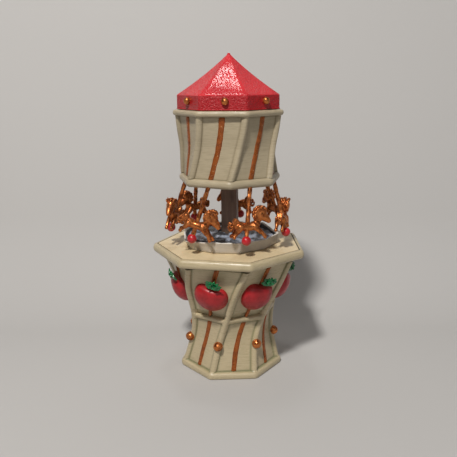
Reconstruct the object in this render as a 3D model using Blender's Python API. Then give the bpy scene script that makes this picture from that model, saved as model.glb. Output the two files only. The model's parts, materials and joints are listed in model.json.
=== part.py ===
"""Carousel music box: a seven-sided twisted pedestal with a wind-up movement inside, and a carousel that it turns.

Units are metres and +Z is up. The object stands on z = 0 and its front faces -Y. Everything is drawn about the turning
axis, and main() then moves it all so that the middle of the object's box is on the Z axis.
Angles around the axis are in degrees from -Y towards +X, which is the way the horses travel.
"""

from math import acos, atan2, cos, degrees, pi, radians, sin

import bmesh
import bpy
from mathutils import Matrix, Vector

MM = 0.001

# ---- driving dimensions ----
SIDES = 7
STEP_DEG = 360 / SIDES
FLAT = cos(pi / SIDES)  # a side's distance from the axis over its corners' distance

HEIGHT = 240 * MM
GAP = 0.3 * MM  # between pieces that touch
RUNNING = 0.1 * MM  # round a shaft that turns in a hole

FOOT_R = 41 * MM
FOOT_BEAD_TOP = 5 * MM
FOOT_ANGLE = -23.3
WAIST_Z = 45.4 * MM
WAIST_BEAD_HALF = 2.1 * MM
RIB_TOP_Z = 90.6 * MM
RIM_BOTTOM_Z = 91.8 * MM
DECK_Z = 98.4 * MM
DECK_ANGLE = 14.3
RIM_R = 60 * MM
LID_R = 56.2 * MM
LID_THICK = 2.4 * MM
WALL = 2.4 * MM
PANEL_DEPTH = 2 * MM
SLOT_DEPTH = 3.8 * MM
RIB_HALF = 2.6 * MM
RIB_SLOPE = 0.7 * MM
STRIPE_HALF = 1.6 * MM
STRIPE_HEIGHT = 0.5 * MM
ROD_HALF = 1.1 * MM
ROD_HEIGHT = 1.3 * MM
BASE_BALL_R = 3.65 * MM
BASE_BALL_Z = 25.4 * MM

CANOPY_BOTTOM = 146.2 * MM
CANOPY_TOP = 200.3 * MM
CANOPY_R = 41 * MM
CANOPY_FLOOR = 4 * MM
CANOPY_WALL = 1.8 * MM
LOWER_BEAD = 6 * MM
UPPER_BEAD = 4.1 * MM

ROOF_R = 38.6 * MM
ROOF_BAND_TOP = 210.8 * MM
ROOF_ANGLE = 18.6
ROOF_WALL = 2 * MM
KNOB_R = 2.65 * MM
KNOB_Z = 206.8 * MM
KNOB_REACH = 35.4 * MM
KNOB_TURN = 2.4  # degrees past the middle of a side

COLUMN_SIDE = 11.6 * MM
COLUMN_TURN = -8
COLUMN_BOTTOM = 100.2 * MM
TENON_R = 3 * MM

POLE_R = 1.7 * MM
POLE_LOW = (45.5 * MM, 111 * MM, 14.5)  # distance from the axis, height, angle of the red ball's centre
POLE_HIGH = (33.5 * MM, 149 * MM, 25.8)
RED_BALL_R = 3.4 * MM
HORSE_ALONG_POLE = 11.8 * MM  # from the red ball's centre up to the horse's saddle
HORSE_TURNS = (0, 6, 0, 0, 0, -20, 20)  # degrees about each pole, away from straight ahead

BASIN_WALL = 1.4 * MM
BASIN_FLOOR = 1.5 * MM
# each corner's angle, then in mm its distance from the axis low down and at the rim, and the rim's height
BASIN_OUTLINE = [
    (-88.6, 34.5, 36.0, 106.6), (-56, 35.6, 40.6, 105.6), (-37.5, 34.2, 38.2, 106.2), (-22.8, 34.0, 34.9, 106.8),
    (3.2, 33.8, 36.0, 107.0), (13.2, 34.2, 34.8, 106.5), (50.7, 33.9, 34.8, 106.4), (83, 36.4, 38.2, 106.8),
    (112, 35.0, 36.6, 105.2), (131, 34.4, 37.0, 108.6), (152, 34.4, 36.8, 106.0), (178, 34.6, 37.4, 107.4),
    (205, 34.4, 37.2, 105.8), (232, 34.6, 38.0, 107.6), (253, 34.8, 38.0, 106.0),
]
ROCK_HOLE_R = 8.8 * MM
BOULDER = (14 * MM, -38)  # distance from the axis and angle

SHELF_Z = 59.4 * MM
SHELF_THICK = 2.2 * MM
PLATE_THICK = 2 * MM
SHAFT_R = 2 * MM
CROWN_TEETH = 30
CROWN_R = 11 * MM
PINION_TEETH = 10
WHEEL_TEETH = 24
GOVERNOR_TEETH = 16
GEAR_SPACING = 10.8 * MM  # from the cylinder's shaft to the governor's
WORM_TEETH = 14
WORM_PITCH = 1.6 * MM
WORM_R = 1.35 * MM
WORM_X = 18 * MM
TONES = 6
TONE_PITCH = 2.2 * MM
CYLINDER_R = 5.4 * MM
PIN_HEIGHT = 0.4 * MM
CYLINDER_START = 13.9 * MM
KEY_SPAN = 13 * MM

# ---- heights that follow from them ----
PLATE_Z = SHELF_Z + SHELF_THICK + 2 * GAP
PLATE_TOP = PLATE_Z + PLATE_THICK
FLANGE_Z = PLATE_TOP + 1.6 * MM
FLANGE_TOP = FLANGE_Z + 1.6 * MM
TOOTH = 0.5 * MM  # from a gear's pitch line to its tips
TOOTH_ROOM = 0.15 * MM  # left under the tips of the teeth that it meets
CROWN_PITCH = 2 * pi * CROWN_R / CROWN_TEETH
PINION_R = CROWN_PITCH * PINION_TEETH / (2 * pi)
ARBOR_Z = FLANGE_TOP + TOOTH + PINION_R
BARREL_TOP = FLANGE_TOP + 11.5 * MM
BRIDGE_Z = BARREL_TOP + GAP
WHEEL_R = GEAR_SPACING * WHEEL_TEETH / (WHEEL_TEETH + GOVERNOR_TEETH)
GOVERNOR_R = GEAR_SPACING - WHEEL_R
WORM_WHEEL_R = WORM_PITCH * WORM_TEETH / (2 * pi)
WORM_Y = GEAR_SPACING + WORM_WHEEL_R + WORM_R + 0.3 * MM
CYLINDER_END = CYLINDER_START + TONES * TONE_PITCH + 0.4 * MM
WHEEL_X = CYLINDER_END + 0.4 * MM
BRACKET_X = WHEEL_X + 1.6 * MM


# ---- helpers ----
def clear_scene():
    for thing in list(bpy.data.objects):
        bpy.data.objects.remove(thing)


def polar(radius, height, angle):
    turn = radians(angle)
    return Vector((radius * sin(turn), -radius * cos(turn), height))


def smooth_through(points, at):
    """The value at one place on a smooth curve through (place, value) points."""
    last = len(points) - 1
    i = max(0, min(last - 1, sum(1 for place, _ in points if place <= at) - 1))
    slopes = []
    for j in (i, i + 1):
        before, after = points[max(0, j - 1)], points[min(last, j + 1)]
        slopes.append((after[1] - before[1]) / (after[0] - before[0]))
    (start, low), (end, high) = points[i], points[i + 1]
    span = end - start
    t = (at - start) / span
    rise = 3 * t * t - 2 * t * t * t
    enter = (t * t * t - 2 * t * t + t) * span * slopes[0]
    leave = (t * t * t - t * t) * span * slopes[1]
    return low + (high - low) * rise + enter + leave


def material(name, colour, roughness, metallic=0.0):
    made = bpy.data.materials.new(name)
    made.use_nodes = True
    shader = made.node_tree.nodes["Principled BSDF"]
    shader.inputs["Base Color"].default_value = (*colour, 1)
    shader.inputs["Roughness"].default_value = roughness
    shader.inputs["Metallic"].default_value = metallic
    made.diffuse_color = (*colour, 1)
    return made


def mesh_object(name, points, faces, finish=None, round_piece=False):
    mesh = bpy.data.meshes.new(name)
    mesh.from_pydata([tuple(point) for point in points], [], faces)
    work = bmesh.new()
    work.from_mesh(mesh)
    bmesh.ops.recalc_face_normals(work, faces=work.faces)
    if work.calc_volume(signed=True) < 0:
        bmesh.ops.reverse_faces(work, faces=work.faces)
    work.to_mesh(mesh)
    work.free()
    if round_piece:
        mesh.shade_smooth()
        mesh.set_sharp_from_angle(angle=radians(40))
    if finish:
        mesh.materials.append(finish)
    made = bpy.data.objects.new(name, mesh)
    bpy.context.scene.collection.objects.link(made)
    return made


def copy_of(source, name, angle=0.0):
    """The same mesh as another object, turned round the Z axis."""
    made = bpy.data.objects.new(name, source.data)
    made.rotation_euler.z = radians(angle)
    bpy.context.scene.collection.objects.link(made)
    return made


def boolean(target, tool, operation):
    """Cuts, joins or intersects one object with another, which is used up."""
    modifier = target.modifiers.new(operation, "BOOLEAN")
    modifier.operation = operation
    modifier.solver = "EXACT"
    modifier.object = tool
    bpy.context.view_layer.update()
    graph = bpy.context.evaluated_depsgraph_get()
    result = bpy.data.meshes.new_from_object(target.evaluated_get(graph))
    target.modifiers.clear()
    target.data = result
    bpy.data.objects.remove(tool)


def join(target, *tools):
    for tool in tools:
        boolean(target, tool, "UNION")


def cut(target, *tools):
    for tool in tools:
        boolean(target, tool, "DIFFERENCE")


def skin(rings, closed=False):
    """Points and faces of a stack of rings, which are capped, or joined last to first when closed.

    A ring may hold a whole multiple of its neighbour's points: each coarse point then fans out to the finer ones.
    """
    points, starts = [], []
    for ring in rings:
        starts.append(len(points))
        points.extend(ring)
    pairs = list(zip(range(len(rings)), range(1, len(rings))))
    if closed:
        pairs.append((len(rings) - 1, 0))
    faces = []
    for a, b in pairs:
        if len(rings[a]) < len(rings[b]):
            a, b = b, a
        fine, coarse = len(rings[a]), len(rings[b])
        share = fine // coarse
        for k in range(coarse):
            here, there = starts[b] + k, starts[b] + (k + 1) % coarse
            row = [starts[a] + (k * share + j) % fine for j in range(share + 1)]
            half = (share + 1) // 2
            for j in range(share):
                if share == 1:
                    faces.append((row[0], row[1], there, here))
                elif j < half:
                    faces.append((row[j], row[j + 1], here))
                else:
                    faces.append((row[j], row[j + 1], there))
            if share > 1:
                faces.append((row[half], there, here))
    if not closed:
        faces.append(tuple(range(len(rings[0]))))
        faces.append(tuple(starts[-1] + i for i in range(len(rings[-1]))))
    return points, faces


def plain_ring(corner_r, height, angle):
    return [polar(corner_r, height, angle + k * STEP_DEG) for k in range(SIDES)]


def relief_ring(corner_r, height, angle, depth, stripe_half, stripe_height, swell=0.0):
    """One level of a seven-sided wall with ribs at its corners and a raised stripe down each side's middle."""
    ring = []
    for k in range(SIDES):
        corner = polar(corner_r, height, angle + k * STEP_DEG)
        following = polar(corner_r, height, angle + (k + 1) * STEP_DEG)
        side = following - corner
        length = side.length
        along = side / length
        outward = Vector((along.y, -along.x, 0))
        ring.append(polar(corner_r + swell - 0.35 * MM, height, angle + k * STEP_DEG))
        middle = length / 2
        for place, offset in (
            (RIB_HALF, 0),
            (RIB_HALF + RIB_SLOPE, -depth),
            (middle - stripe_half - 0.4 * MM, -depth),
            (middle - stripe_half, stripe_height - depth),
            (middle + stripe_half, stripe_height - depth),
            (middle + stripe_half + 0.4 * MM, -depth),
            (length - RIB_HALF - RIB_SLOPE, -depth),
            (length - RIB_HALF, 0),
        ):
            ring.append(corner + along * place + outward * (offset + swell))
    return ring


def prism(name, outline, low, high, finish=None):
    """An upright prism over an outline of (x, y) points."""
    rings = [[Vector((x, y, z)) for x, y in outline] for z in (low, high)]
    return mesh_object(name, *skin(rings), finish)


def box(name, low, high, finish=None):
    outline = [(low[0], low[1]), (high[0], low[1]), (high[0], high[1]), (low[0], high[1])]
    return prism(name, outline, low[2], high[2], finish)


def frame_along(direction):
    """A matrix whose Z axis is this direction."""
    return direction.to_track_quat("Z", "Y").to_matrix()


def lathe(name, profile, centre, direction, finish=None, steps=16):
    """A solid turned about a line. The profile is (radius, distance along the line) from end to end, off the line."""
    turn = frame_along(direction)
    rings = []
    for radius, distance in profile:
        rings.append([
            centre + turn @ Vector((radius * cos(2 * pi * i / steps), radius * sin(2 * pi * i / steps), distance))
            for i in range(steps)
        ])
    return mesh_object(name, *skin(rings), finish, True)


def rod(name, radius, start, end, finish=None, steps=16):
    return lathe(name, [(radius, 0), (radius, (end - start).length)], start, end - start, finish, steps)


def ball(name, radius, centre, direction, finish=None, steps=12, rows=7):
    """A sphere with tiny flats at both poles."""
    flat = 0.12
    profile = []
    for i in range(rows):
        turn = -pi / 2 + flat + (pi - 2 * flat) * i / (rows - 1)
        profile.append((radius * cos(turn), radius * sin(turn)))
    return lathe(name, profile, centre, direction, finish, steps)


def limb(name, spots, sides=6):
    """A closed tube through (x, y, z, radius) spots."""
    centres = [Vector(spot[:3]) for spot in spots]
    rings = []
    for i, spot in enumerate(spots):
        before, after = centres[max(0, i - 1)], centres[min(len(spots) - 1, i + 1)]
        turn = frame_along(after - before)
        rings.append([
            centres[i] + turn @ Vector((spot[3] * cos(2 * pi * j / sides), spot[3] * sin(2 * pi * j / sides), 0))
            for j in range(sides)
        ])
    return mesh_object(name, *skin(rings))


def gear_ring(teeth, pitch_r, width):
    """The (x, y) outline of a spur gear. Its first tooth points along +X, and width is a share of the pitch."""
    root = -TOOTH - TOOTH_ROOM
    outline = []
    for i in range(teeth):
        for step, rise in ((-width / 2, root), (-width / 3.2, TOOTH), (width / 3.2, TOOTH), (width / 2, root)):
            turn = 2 * pi * (i + step) / teeth
            outline.append(((pitch_r + rise) * cos(turn), (pitch_r + rise) * sin(turn)))
    return outline


def gear_on_x(name, teeth, pitch_r, start, end, y, z, turn=0.0, width=0.4):
    """A spur gear on a line along X. With no turn its first tooth points up."""
    rings = []
    for x in (start, end):
        ring = []
        for up, side in gear_ring(teeth, pitch_r, width):
            ring.append(Vector((x, y - up * sin(turn) + side * cos(turn), z + up * cos(turn) + side * sin(turn))))
        rings.append(ring)
    return mesh_object(name, *skin(rings))


# ---- materials ----
def make_materials():
    return {
        "cream": material("cream", (0.72, 0.66, 0.48), 0.5),
        "deck": material("deck", (0.74, 0.60, 0.38), 0.45),
        "canopy": material("canopy", (0.66, 0.60, 0.46), 0.5),
        "red_roof": material("red_roof", (0.70, 0.06, 0.09), 0.3),
        "copper": material("copper", (0.62, 0.27, 0.08), 0.35, 0.8),
        "apple_red": material("apple_red", (0.60, 0.03, 0.05), 0.35),
        "leaf_green": material("leaf_green", (0.01, 0.22, 0.09), 0.4),
        "ball_red": material("ball_red", (0.60, 0.03, 0.04), 0.35),
        "basin_white": material("basin_white", (0.62, 0.58, 0.54), 0.55),
        "rock_grey": material("rock_grey", (0.10, 0.11, 0.14), 0.5),
        "column_grey": material("column_grey", (0.12, 0.10, 0.09), 0.6),
        "steel": material("steel", (0.60, 0.60, 0.62), 0.3, 1.0),
        "brass": material("brass", (0.80, 0.60, 0.25), 0.3, 1.0),
        "shelf": material("shelf", (0.30, 0.28, 0.25), 0.6),
    }


# ---- the pedestal ----
RIB_CURVE = [(0, 40.2), (5, 39.2), (25, 34.7), (37, 34.4), (50, 37.4), (72, 46.4), (91, 52.6)]
TWIST_CURVE = [(0, -23.3), (5, -22.4), (25, -16.6), (50, -3.0), (72, 5.9), (91, 14.3)]


def rib_r(z):
    return smooth_through(RIB_CURVE, z / MM) * MM


def twist(z):
    return smooth_through(TWIST_CURVE, z / MM)


def inner_r(z):
    """The corners of the plain seven-sided inside of the pedestal."""
    return rib_r(z) - (PANEL_DEPTH + WALL) / FLAT


def base_levels(swell):
    """The outside of the pedestal up to its rim, one ring for each level."""
    rings = []

    def bead(z, corner_r, angle):
        rings.append(plain_ring(corner_r + swell, z, angle))

    def panel(z, depth, half, height):
        rings.append(relief_ring(rib_r(z), z, twist(z), depth, half, height, swell))

    bead(0, FOOT_R - 0.8 * MM, FOOT_ANGLE)
    bead(0.8 * MM, FOOT_R, FOOT_ANGLE)
    bead(FOOT_BEAD_TOP - 1.2 * MM, FOOT_R, FOOT_ANGLE)
    bead(FOOT_BEAD_TOP - 0.3 * MM, FOOT_R - 0.9 * MM, FOOT_ANGLE)
    waist_low, waist_high = WAIST_Z - WAIST_BEAD_HALF, WAIST_Z + WAIST_BEAD_HALF
    levels = 4
    for i in range(levels + 1):
        z = FOOT_BEAD_TOP + 0.2 * MM + (waist_low - FOOT_BEAD_TOP - 0.6 * MM) * i / levels
        panel(z, PANEL_DEPTH, STRIPE_HALF, STRIPE_HEIGHT)
    for z, depth in ((waist_low, 1.3 * MM), (WAIST_Z, 0.1 * MM), (waist_high, 1.3 * MM)):
        panel(z, depth, STRIPE_HALF, 0)
    slot_low, slot_high = waist_high + 0.3 * MM, waist_high + 2.9 * MM
    for z in (slot_low, slot_high):
        panel(z, SLOT_DEPTH, ROD_HALF, ROD_HEIGHT + SLOT_DEPTH - PANEL_DEPTH)
    levels = 4
    for i in range(levels + 1):
        t = i / levels
        z = slot_high + 0.4 * MM + (RIB_TOP_Z - slot_high - 0.4 * MM) * t
        panel(z, PANEL_DEPTH, ROD_HALF * (1 + 0.45 * t), ROD_HEIGHT)
    neck = rib_r(RIB_TOP_Z) - PANEL_DEPTH / FLAT
    bead(RIB_TOP_Z + 0.3 * MM, neck, DECK_ANGLE)
    bead(RIM_BOTTOM_Z - 0.1 * MM, neck + 0.6 * MM, DECK_ANGLE)
    for z, less in ((0, 1.6), (0.9, 0.5), (2.6, 0), (4.6, 0.3), (5.8, 1.0), (6.6, 2.2)):
        bead(RIM_BOTTOM_Z + z * MM, RIM_R - less * MM, DECK_ANGLE)
    return rings


def make_base_shell(finish):
    rings = base_levels(0)
    ledge = DECK_Z - LID_THICK - GAP
    rings.append(plain_ring(LID_R, DECK_Z, DECK_ANGLE))
    rings.append(plain_ring(LID_R, ledge, DECK_ANGLE))
    rings.append(plain_ring(LID_R - 5 * MM, ledge, DECK_ANGLE))
    rings.append(plain_ring(inner_r(RIB_TOP_Z), RIB_TOP_Z, twist(RIB_TOP_Z)))
    levels = 4
    for i in range(1, levels + 1):
        z = RIB_TOP_Z + (SHELF_Z - RIB_TOP_Z) * i / levels
        rings.append(plain_ring(inner_r(z), z, twist(z)))
    below = SHELF_Z - 3.5 * MM
    rings.append(plain_ring(inner_r(SHELF_Z) - 3 * MM, SHELF_Z, twist(SHELF_Z)))
    rings.append(plain_ring(inner_r(below) - 1.2 * MM, below, twist(below)))
    levels = 6
    for i in range(1, levels + 1):
        z = below * (1 - i / levels)
        angle = twist(z) if i < levels else FOOT_ANGLE
        rings.append(plain_ring(inner_r(z), z, angle))
    shell = mesh_object("base_shell", *skin(rings, closed=True), finish)
    for k in range(SIDES):
        centre = polar(rib_r(BASE_BALL_Z) - 0.3 * MM, BASE_BALL_Z, twist(BASE_BALL_Z) + k * STEP_DEG)
        join(shell, ball("bead", BASE_BALL_R, centre, Vector((centre.x, centre.y, 0)), steps=8, rows=5))
    return shell


def base_envelope(swell):
    """The pedestal's outside as a solid block, a little larger, which shapes what sits against it."""
    return mesh_object("envelope", *skin(base_levels(swell)))


def panel_frame(z, k=0):
    """A matrix at the middle of a side panel: X along the side, Y up the panel, Z outwards."""

    def spot(height):
        reach = rib_r(height) * FLAT - PANEL_DEPTH
        return polar(reach, height, twist(height) - STEP_DEG / 2 + k * STEP_DEG)

    small = 2 * MM
    up = (spot(z + small) - spot(z - small)).normalized()
    corner = polar(1, 0, twist(z) + k * STEP_DEG)
    sideways = (corner - polar(1, 0, twist(z) + (k - 1) * STEP_DEG)).normalized()
    outward = sideways.cross(up).normalized()
    across = up.cross(outward)
    turn = Matrix((across, up, outward)).transposed()
    return Matrix.Translation(spot(z)) @ turn.to_4x4()


APPLE_Z = 67.6 * MM
APPLE_HALF_WIDTH = 13.2 * MM
APPLE_HALF_HEIGHT = 12.4 * MM
APPLE_REACH = 8.6 * MM


def apple_solid(name, swell=0.0, finish=None):
    """A flattened apple about a panel's middle, dimpled at its top."""
    steps, rows = 16, 7
    place = panel_frame(APPLE_Z)
    rings = []
    for i in range(rows):
        turn = -pi / 2 + 0.12 + (pi - 0.24) * i / (rows - 1)
        radius = cos(turn)
        height = sin(turn) * (1 - 0.16 * max(0, sin(turn)) * (1 - radius) ** 2)
        ring = []
        for j in range(steps):
            around = 2 * pi * j / steps
            ring.append(place @ Vector((
                (APPLE_HALF_WIDTH + swell) * radius * cos(around),
                (APPLE_HALF_HEIGHT + swell) * height,
                (APPLE_REACH + swell) * radius * sin(around),
            )))
        rings.append(ring)
    return mesh_object(name, *skin(rings), finish, True)


def leaf_solid(name, finish):
    """A pointed leaf that lies over an apple's top."""
    place = panel_frame(APPLE_Z) @ Matrix.Translation((2 * MM, APPLE_HALF_HEIGHT - MM, 3.4 * MM))
    place = place @ Matrix.Rotation(radians(-8), 4, "Z") @ Matrix.Rotation(radians(-38), 4, "X")
    half_length, half_width, thick = 5.6 * MM, 3.2 * MM, 1.3 * MM
    count = 4
    top, bottom = [], []
    for i in range(2 * count):
        turn = pi * i / count
        x = half_length * cos(turn)
        y = half_width * sin(turn) * abs(sin(turn)) ** 0.4
        droop = -1.2 * MM * (x / half_length) ** 2
        top.append(place @ Vector((x, y, thick + droop)))
        bottom.append(place @ Vector((x, y, droop)))
    return mesh_object(name, *skin([bottom, top]), finish)


def make_apples(apple_finish, leaf_finish):
    apple = apple_solid("apple_1", 0, apple_finish)
    cut(apple, base_envelope(GAP))
    leaf = leaf_solid("leaf_1", leaf_finish)
    cut(leaf, apple_solid("apple_room", GAP))
    cut(leaf, base_envelope(GAP))
    for k in range(1, SIDES):
        copy_of(apple, f"apple_{k + 1}", k * STEP_DEG)
        copy_of(leaf, f"leaf_{k + 1}", k * STEP_DEG)


def make_deck(finishes):
    low = DECK_Z - LID_THICK
    lid = mesh_object(
        "deck_lid",
        *skin([plain_ring(LID_R - GAP, z, DECK_ANGLE) for z in (low, DECK_Z)]),
        finishes["deck"],
    )
    bush_r = 4 * MM
    up = Vector((0, 0, 1))
    cut(lid, rod("hole", bush_r + RUNNING, Vector((0, 0, low - MM)), Vector((0, 0, DECK_Z + MM))))
    flange = DECK_Z + GAP
    bush = lathe(
        "shaft_bush",
        [(bush_r, 0), (bush_r, 6 * MM), (bush_r + 2 * MM, 6 * MM), (bush_r + 2 * MM, 7.1 * MM)],
        Vector((0, 0, flange - 6 * MM)), up, finishes["brass"],
    )
    cut(bush, rod("bore", SHAFT_R + RUNNING, Vector((0, 0, low - 10 * MM)), Vector((0, 0, DECK_Z + 9 * MM))))


BASIN_LOW = DECK_Z + GAP


def basin_ring(share, inset=0.0):
    """The basin's outline some share of the way from its foot up to its rim."""
    ring = []
    for angle, low_r, rim_r, top in BASIN_OUTLINE:
        radius = (low_r + (rim_r - low_r) * share) * MM - inset
        ring.append(polar(radius, BASIN_LOW + (top * MM - BASIN_LOW) * share, angle))
    return ring


def make_basin(finish):
    """A low bowl whose flared wall has an uneven outline and rim. Its floor has a hole round the shaft's bush."""
    inner_floor = [Vector((point.x, point.y, BASIN_LOW + BASIN_FLOOR)) for point in basin_ring(0, BASIN_WALL)]
    basin = mesh_object("basin", *skin([
        basin_ring(0),
        basin_ring(0.5),
        basin_ring(0.94),
        basin_ring(1, 0.4 * MM),
        basin_ring(1, BASIN_WALL),
        basin_ring(0.6, BASIN_WALL),
        inner_floor,
    ]), finish)
    cut(basin, rod("hole", 6.5 * MM, Vector((0, 0, BASIN_LOW - MM)), Vector((0, 0, BASIN_LOW + 5 * MM))))


def make_rocks(finish):
    """Rough stone and frozen water heaped up in the basin, with a round hole for the column and one boulder."""
    floor = BASIN_LOW + BASIN_FLOOR + GAP
    corners = basin_ring(0, BASIN_WALL + GAP)
    edge = []
    for i, corner in enumerate(corners):
        edge += [corner, (corner + corners[(i + 1) % len(corners)]) / 2]
    boulder = polar(BOULDER[0], 0, BOULDER[1])
    rows = 5

    def ring(t, heights):
        made = []
        for point in edge:
            flat = Vector((point.x, point.y, 0))
            spot = (flat.normalized() * ROCK_HOLE_R).lerp(flat, t)
            height = 0
            if heights:
                wave = 0.4 * sin(5 * atan2(spot.x, -spot.y) + 6 * t)
                height = 8.2 - 4.4 * t ** 0.7 + wave + 2.2 * max(0, 1 - (spot - boulder).length / (6 * MM))
            made.append(Vector((spot.x, spot.y, floor + height * MM)))
        return made

    rings = [ring(0, False)] + [ring(row / (rows - 1), True) for row in range(rows)] + [ring(1, False)]
    mesh_object("basin_rocks", *skin(rings, closed=True), finish)


# ---- the carousel ----
CANOPY_CURVE = [(150, 38.0), (162, 36.9), (174, 36.6), (186, 38.3), (198, 40.0)]
CANOPY_TWIST = [(150, 0.2), (162, 6.2), (174, 11.4), (186, 15.6), (198, 17.9)]


def canopy_r(z):
    return smooth_through(CANOPY_CURVE, z / MM) * MM


def canopy_twist(z):
    return smooth_through(CANOPY_TWIST, z / MM)


def make_canopy(finish):
    """The drum over the horses: an open-topped bowl with seven corner ribs and sockets for the poles."""
    low_angle, high_angle = canopy_twist(150 * MM), canopy_twist(198 * MM)
    rings = []

    def bead(z, less, angle):
        rings.append(plain_ring(CANOPY_R - less * MM, z, angle))

    bead(CANOPY_BOTTOM, 2.8, low_angle)
    bead(CANOPY_BOTTOM + 1.2 * MM, 0.7, low_angle)
    bead(CANOPY_BOTTOM + LOWER_BEAD / 2, 0, low_angle)
    bead(CANOPY_BOTTOM + LOWER_BEAD - 1.2 * MM, 0.7, low_angle)
    panel_low = CANOPY_BOTTOM + LOWER_BEAD
    panel_high = CANOPY_TOP - UPPER_BEAD - 0.3 * MM
    levels = 4
    for i in range(levels + 1):
        z = panel_low + (panel_high - panel_low) * i / levels
        rings.append(relief_ring(canopy_r(z), z, canopy_twist(z), PANEL_DEPTH, STRIPE_HALF, STRIPE_HEIGHT))
    bead(CANOPY_TOP - UPPER_BEAD + 0.3 * MM, 0.7, high_angle)
    bead(CANOPY_TOP - UPPER_BEAD / 2, 0, high_angle)
    bead(CANOPY_TOP - 0.6 * MM, 0.6, high_angle)
    bead(CANOPY_TOP, 1.7, high_angle)
    inset = (PANEL_DEPTH + CANOPY_WALL) / FLAT
    levels = 4
    floor = CANOPY_BOTTOM + CANOPY_FLOOR
    for i in range(levels + 1):
        z = CANOPY_TOP + (floor - CANOPY_TOP) * i / levels
        rings.append(plain_ring(canopy_r(z) - inset, z, canopy_twist(z)))
    drum = mesh_object("canopy_drum", *skin(rings), finish)
    low, high = polar(*POLE_LOW), polar(*POLE_HIGH)
    for k in range(SIDES):
        turn = Matrix.Rotation(radians(k * STEP_DEG), 3, "Z")
        past = (high - low).normalized() * 1.2 * MM
        cut(drum, rod("socket", POLE_R + GAP, turn @ (low + (high - low) * 0.8), turn @ (high + past), steps=8))
    cut(drum, rod("hole", TENON_R + GAP, Vector((0, 0, CANOPY_BOTTOM - MM)), Vector((0, 0, floor + MM))))


def make_roof(finish):
    """A seven-sided pyramid, hollow below, whose slopes curve in a little, on an upright band with round knobs."""
    low = CANOPY_TOP + GAP
    rings = []
    for r, z in ((0.4, low), (0.4, low + 0.7 * MM), (0, low + 0.9 * MM), (0, ROOF_BAND_TOP)):
        rings.append(plain_ring(ROOF_R + r * MM, z, ROOF_ANGLE))
    rise = HEIGHT - ROOF_BAND_TOP
    levels = 6
    for i in range(1, levels):
        t = i / levels
        rings.append(plain_ring(ROOF_R * (1 - t) * (1 - 0.14 * t), ROOF_BAND_TOP + rise * t, ROOF_ANGLE))
    rings.append(plain_ring(0.7 * MM, HEIGHT, ROOF_ANGLE))
    inside = [plain_ring(4 * MM, ROOF_BAND_TOP + 0.74 * rise, ROOF_ANGLE)]
    inside.append(plain_ring(ROOF_R - 3.2 * MM, ROOF_BAND_TOP - MM, ROOF_ANGLE))
    inside.append(plain_ring(ROOF_R - ROOF_WALL / FLAT, low - MM, ROOF_ANGLE))
    roof = mesh_object("roof", *skin(rings), finish)
    cut(roof, mesh_object("hollow", *skin(inside)))
    for k in range(SIDES):
        centre = polar(KNOB_REACH, KNOB_Z, ROOF_ANGLE + KNOB_TURN + (k + 0.5) * STEP_DEG)
        join(roof, ball("knob", KNOB_R, centre, Vector((centre.x, centre.y, 0)), steps=8, rows=5))


def make_column(finish):
    reach = COLUMN_SIDE / 2 ** 0.5
    ring = [(polar(reach, 0, COLUMN_TURN + 45 + 90 * i)) for i in range(4)]
    outline = [(point.x, point.y) for point in ring]
    top = CANOPY_BOTTOM - GAP
    column = prism("column", outline, COLUMN_BOTTOM, top, finish)
    tenon_top = CANOPY_BOTTOM + CANOPY_FLOOR + MM
    join(column, rod("tenon", TENON_R, Vector((0, 0, top - 2 * MM)), Vector((0, 0, tenon_top)), steps=16))
    socket_top = Vector((0, 0, COLUMN_BOTTOM + 12 * MM))
    cut(column, rod("socket", SHAFT_R + RUNNING, Vector((0, 0, COLUMN_BOTTOM - MM)), socket_top))


def horse_frame():
    """A matrix at the first horse's saddle: X the way it travels, Y towards the axis, Z up."""
    low, high = polar(*POLE_LOW), polar(*POLE_HIGH)
    saddle = low + (high - low).normalized() * HORSE_ALONG_POLE
    angle = degrees(atan2(saddle.x, -saddle.y))
    forward = Vector((cos(radians(angle)), sin(radians(angle)), 0))
    up = Vector((0, 0, 1))
    turn = Matrix((forward, up.cross(forward), up)).transposed()
    return Matrix.Translation(saddle) @ turn.to_4x4()


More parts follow.
